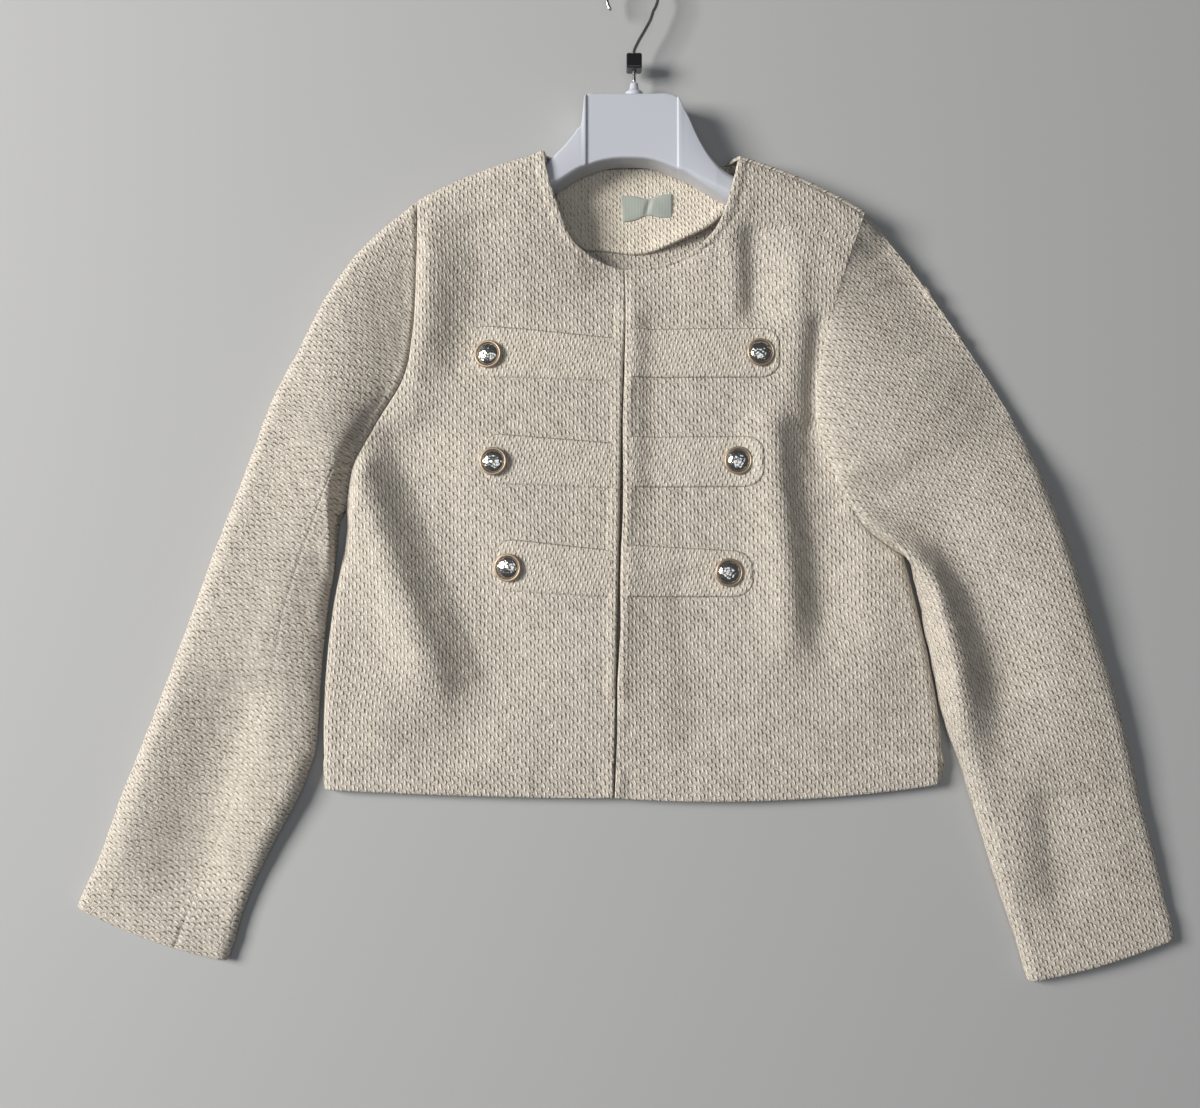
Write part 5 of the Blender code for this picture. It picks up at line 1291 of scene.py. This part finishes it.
cap = [(DOME_RADIUS * math.sin(0.5 * math.pi * k),
        DOME_FOOT + (DOME_HEIGHT - DOME_FOOT) * math.cos(0.5 * math.pi * k))
       for k in np.linspace(0.001, 1, 26)]
dome_section = [(0.01, 0.1), (DOME_RADIUS, 0.1), (DOME_RADIUS, 0.7)] + cap[::-1]
rim_section = rounded([(RIM_HOLE, 0.3), (RIM_RADIUS - 0.5, 0.3), (RIM_RADIUS - 0.1, 0.7),
                       (RIM_RADIUS, 1.4), (RIM_RADIUS - 0.15, 2.0), (RIM_RADIUS - 0.6, 2.5),
                       (RIM_RADIUS - 1.1, 2.7), (RIM_HOLE + 0.4, 2.55), (RIM_HOLE, 2.1)],
                      2, closed=True)

# %% The six buttons
BUTTON_OFF = 0.9       # a button stands this far off its tab
BUTTON_LEAN = {"right": -0.07, "left": 0.13}    # and leans outwards by this slope
BUTTON_SPAN = 4        # how far from its middle the slope beneath it is taken


def placed(piece, turn, move):
    """Turns and moves the mesh itself, so that the object stays at the origin."""
    piece.data.transform(Matrix.Translation(Vector(move) * MM) @ turn)
    return piece


for row in BUTTONS:
    x = row.x + BUTTON_SPAN * np.array([1, -1, 0, 0])
    y = row.y + BUTTON_SPAN * np.array([0, 0, 1, -1])
    z = body_height(row.side, x, y)
    slope_x, slope_y = (z[0] - z[1]) / (2 * BUTTON_SPAN), (z[2] - z[3]) / (2 * BUTTON_SPAN)
    normal = Vector((BUTTON_LEAN[row.side] - slope_x, -slope_y, 1)).normalized()
    turn = Vector((0, 0, 1)).rotation_difference(normal).to_matrix().to_4x4()
    spin = Matrix.Rotation(row.x + row.y, 4, "Z")
    move = (row.x, row.y, float(body_height(row.side, row.x, row.y)) + TAB_WALL + BUTTON_OFF)
    rim = turned_piece(row.name + "_rim_turned", rim_section, 72, GOLD)
    dome = turned_piece(row.name + "_dome_turned", dome_section, 72, SILVER, hammered)
    dress(placed(rim, turn @ spin, move), row.name + "_rim")
    dress(placed(dome, turn @ spin, move), row.name + "_dome")

# %% [markdown]
# ## The hanger and its hook
#
# The hanger is one loft along X: each slice is a rectangle with round corners whose edges are
# read from the hanger's table. A shallow panel is sunk into the middle of its face, between two
# raised ridges.

# %% Hanger body
def slice_outline(low, high, top, corner, steps=7):
    """Points round a slice, in (y, z): a quarter circle of each corner in turn."""
    corner = np.minimum(corner, 0.45 * np.minimum(high - low, top - HANGER_BOTTOM))
    y = np.stack([low + corner, high - corner, high - corner, low + corner], -1)
    z = np.stack([HANGER_BOTTOM + corner, HANGER_BOTTOM + corner, top - corner, top - corner], -1)
    angle = math.pi + 0.5 * math.pi * (np.arange(4)[:, None] + np.linspace(0, 1, steps))
    y = y[..., None] + corner[:, None, None] * np.cos(angle)
    z = z[..., None] + corner[:, None, None] * np.sin(angle)
    return y.reshape(len(low), -1), z.reshape(len(low), -1)


table_x, *columns = np.array(HANGER, float).T
ridges = table_x[10:28]      # the slices about the two ridges, doubled closely
slice_x = np.unique(np.concatenate([np.linspace(table_x[0], table_x[-1], 240), table_x,
                                    ridges + 0.4, ridges - 0.4]))
low, high = (smooth_curve(table_x, column, slice_x) for column in columns[:2])
top, corner = (np.interp(slice_x, table_x, column) for column in columns[2:])
y, z = slice_outline(low, high, top - 0.2, np.maximum(corner, 2.4))
ring = np.stack([slice_x[:, None] + 0 * y, y, z], -1)
ends = np.stack([np.broadcast_to(ring[k].mean(0), ring[k].shape) for k in (0, -1)])
ring = np.concatenate([ends[:1], ring, ends[1:]])
hanger = mesh_piece("hanger_moulding", ring, grid_faces(*ring.shape[:2], closed=True), WHITE)
dress(hanger, "hanger_body")

# %% Collar, wire and marker
collar_section = rounded([(0.01, 0.0), (7.0, 0.0), (7.4, 0.5), (7.4, 4.4), (6.9, 5.0),
                          (4.4, 6.4), (3.6, 9.0), (3.2, COLLAR_LENGTH - 0.5),
                          (2.7, COLLAR_LENGTH), (0.01, COLLAR_LENGTH)], 3)
collar = turned_piece("hook_collar_turned", collar_section, 64, WHITE)
dress(placed(collar, Matrix.Rotation(-0.5 * math.pi, 4, "X"),
             (HOOK_X, HANGER_TOP + 0.3, HOOK_Z)), "hook_collar")

sweep = np.radians(np.linspace(*HOOK_SWEEP, 90))
arc = np.stack([HOOK_CENTRE[0] + HOOK_RADIUS * np.cos(sweep),
                HOOK_CENTRE[1] + HOOK_RADIUS * np.sin(sweep)], -1)
WIRE_START = HANGER_TOP + COLLAR_LENGTH + 0.6
WIRE_STRAIGHT = 328.0  # Y up to which it is straight
neck_path = np.array([(HOOK_X, WIRE_START), (HOOK_X, WIRE_STRAIGHT)] + HOOK_NECK
                     + [tuple(arc[0])], float)
along = np.concatenate([[0], np.cumsum(np.linalg.norm(np.diff(neck_path, axis=0), axis=1))])
fine = np.linspace(0, along[-1], 80)[:-1]
path = np.concatenate([np.stack([smooth_curve(along, neck_path[:, k], fine) for k in (0, 1)], -1),
                       arc])
step = np.gradient(path, axis=0)
step /= np.linalg.norm(step, axis=1, keepdims=True)
radius = np.full(len(path), WIRE_RADIUS)
radius[0] = radius[-1] = 0.01
radius[1] = radius[-2] = WIRE_RADIUS - 0.2
round_angle = np.arange(24) * 2 * math.pi / 24
aside = np.stack([-step[:, 1], step[:, 0]], -1)
across = (radius[:, None] * np.cos(round_angle))[..., None]
height = (HOOK_Z + radius[:, None] * np.sin(round_angle))[..., None]
wire = np.concatenate([path[:, None] + aside[:, None] * across, height], -1)
wire[0, :, :2], wire[-1, :, :2] = path[0], path[-1]
hook = mesh_piece("hook_wire_bent", wire, grid_faces(*wire.shape[:2], closed=True), STEEL)
dress(hook, "hook_wire")

half, hole, chamfer = 0.5 * MARKER, WIRE_RADIUS + 0.3, MARKER_CORNER
angle = np.arange(96) * 2 * math.pi / 96
SQUARENESS = 14        # power of the rounded square |x|^n + |y|^n = half^n
powers = [np.abs(part) ** SQUARENESS for part in (np.cos(angle), np.sin(angle))]
square = half / (powers[0] + powers[1]) ** (1 / SQUARENESS)
lower = [(hole + 0 * angle, -half), (hole + 0.2 + 0 * angle, -half),
         (square - chamfer - 0.3, -half), (square - chamfer, -half), (square, chamfer - half),
         (square, chamfer + 0.3 - half)]
loops = lower + [(reach, -along) for reach, along in lower[::-1]] + lower[:1]
block = np.stack([np.stack([HOOK_X + reach * np.cos(angle), MARKER_Y + along + 0 * angle,
                            HOOK_Z + reach * np.sin(angle)], -1) for reach, along in loops])
marker = mesh_piece("size_marker_block", block,
                    grid_faces(len(loops), len(angle), flip=True, closed=True), BLACK)
dress(marker, "size_marker")

# %% [markdown]
# ## Floor, light and camera
#
# The jacket lies on a plain pale floor under a soft light from the upper left. The camera looks
# down on it from a little below its middle.

# %% Floor
floor_finish = Finish("pale_floor", Roughness=0.85, Base_Color=(0.42, 0.42, 0.42, 1))
FLOOR_SIZE = 4000
corner = FLOOR_SIZE * np.array([[-1, -1, 0], [1, -1, 0], [1, 1, 0], [-1, 1, 0]]) + [0, 0, -0.05]
floor = mesh_piece("floor", corner, [[0, 1, 2, 3]], floor_finish.material)

# %% Lights
def panel_light(name, place, target, size, power, colour):
    """A square panel that shines from a place at a target."""
    data = bpy.data.lights.new(name, "AREA")
    data.shape, data.size, data.energy, data.color = "SQUARE", size, power, colour
    lamp = bpy.data.objects.new(name, data)
    turn = (Vector(place) - Vector(target)).to_track_quat("Z", "Y").to_matrix().to_4x4()
    lamp.matrix_world = Matrix.Translation(Vector(place)) @ turn
    bpy.context.scene.collection.objects.link(lamp)
    return lamp


panel_light("window", (-2.9, 0.5, 2.0), (0, 0, 0), 1.35, 180, (1.0, 0.985, 0.955))
panel_light("ceiling", (0.15, -0.25, 2.3), (0, 0, 0), 1.6, 10, (0.92, 0.96, 1.0))
world = bpy.data.worlds.new("soft_room")
bpy.context.scene.world = world
world.use_nodes = True
background = world.node_tree.nodes["Background"].inputs
background["Color"].default_value = (0.82, 0.86, 0.92, 1)
background["Strength"].default_value = 0.08

# %% Camera
camera_data = bpy.data.cameras.new("camera")
camera_data.lens, camera_data.sensor_width, camera_data.sensor_fit = 36, 36, "HORIZONTAL"
camera = bpy.data.objects.new("camera", camera_data)
place, target = Vector((-20, -130.3, 958.1)) * MM, Vector((-20, -70, 0)) * MM
back_axis = (place - target).normalized()
right_axis = Vector((0, 1, 0)).cross(back_axis).normalized()
up_axis = back_axis.cross(right_axis)
turn = Matrix((right_axis, up_axis, back_axis)).transposed().to_4x4()
camera.matrix_world = Matrix.Translation(place) @ turn
bpy.context.scene.collection.objects.link(camera)
bpy.context.scene.camera = camera
bpy.context.scene.view_settings.view_transform = "Standard"
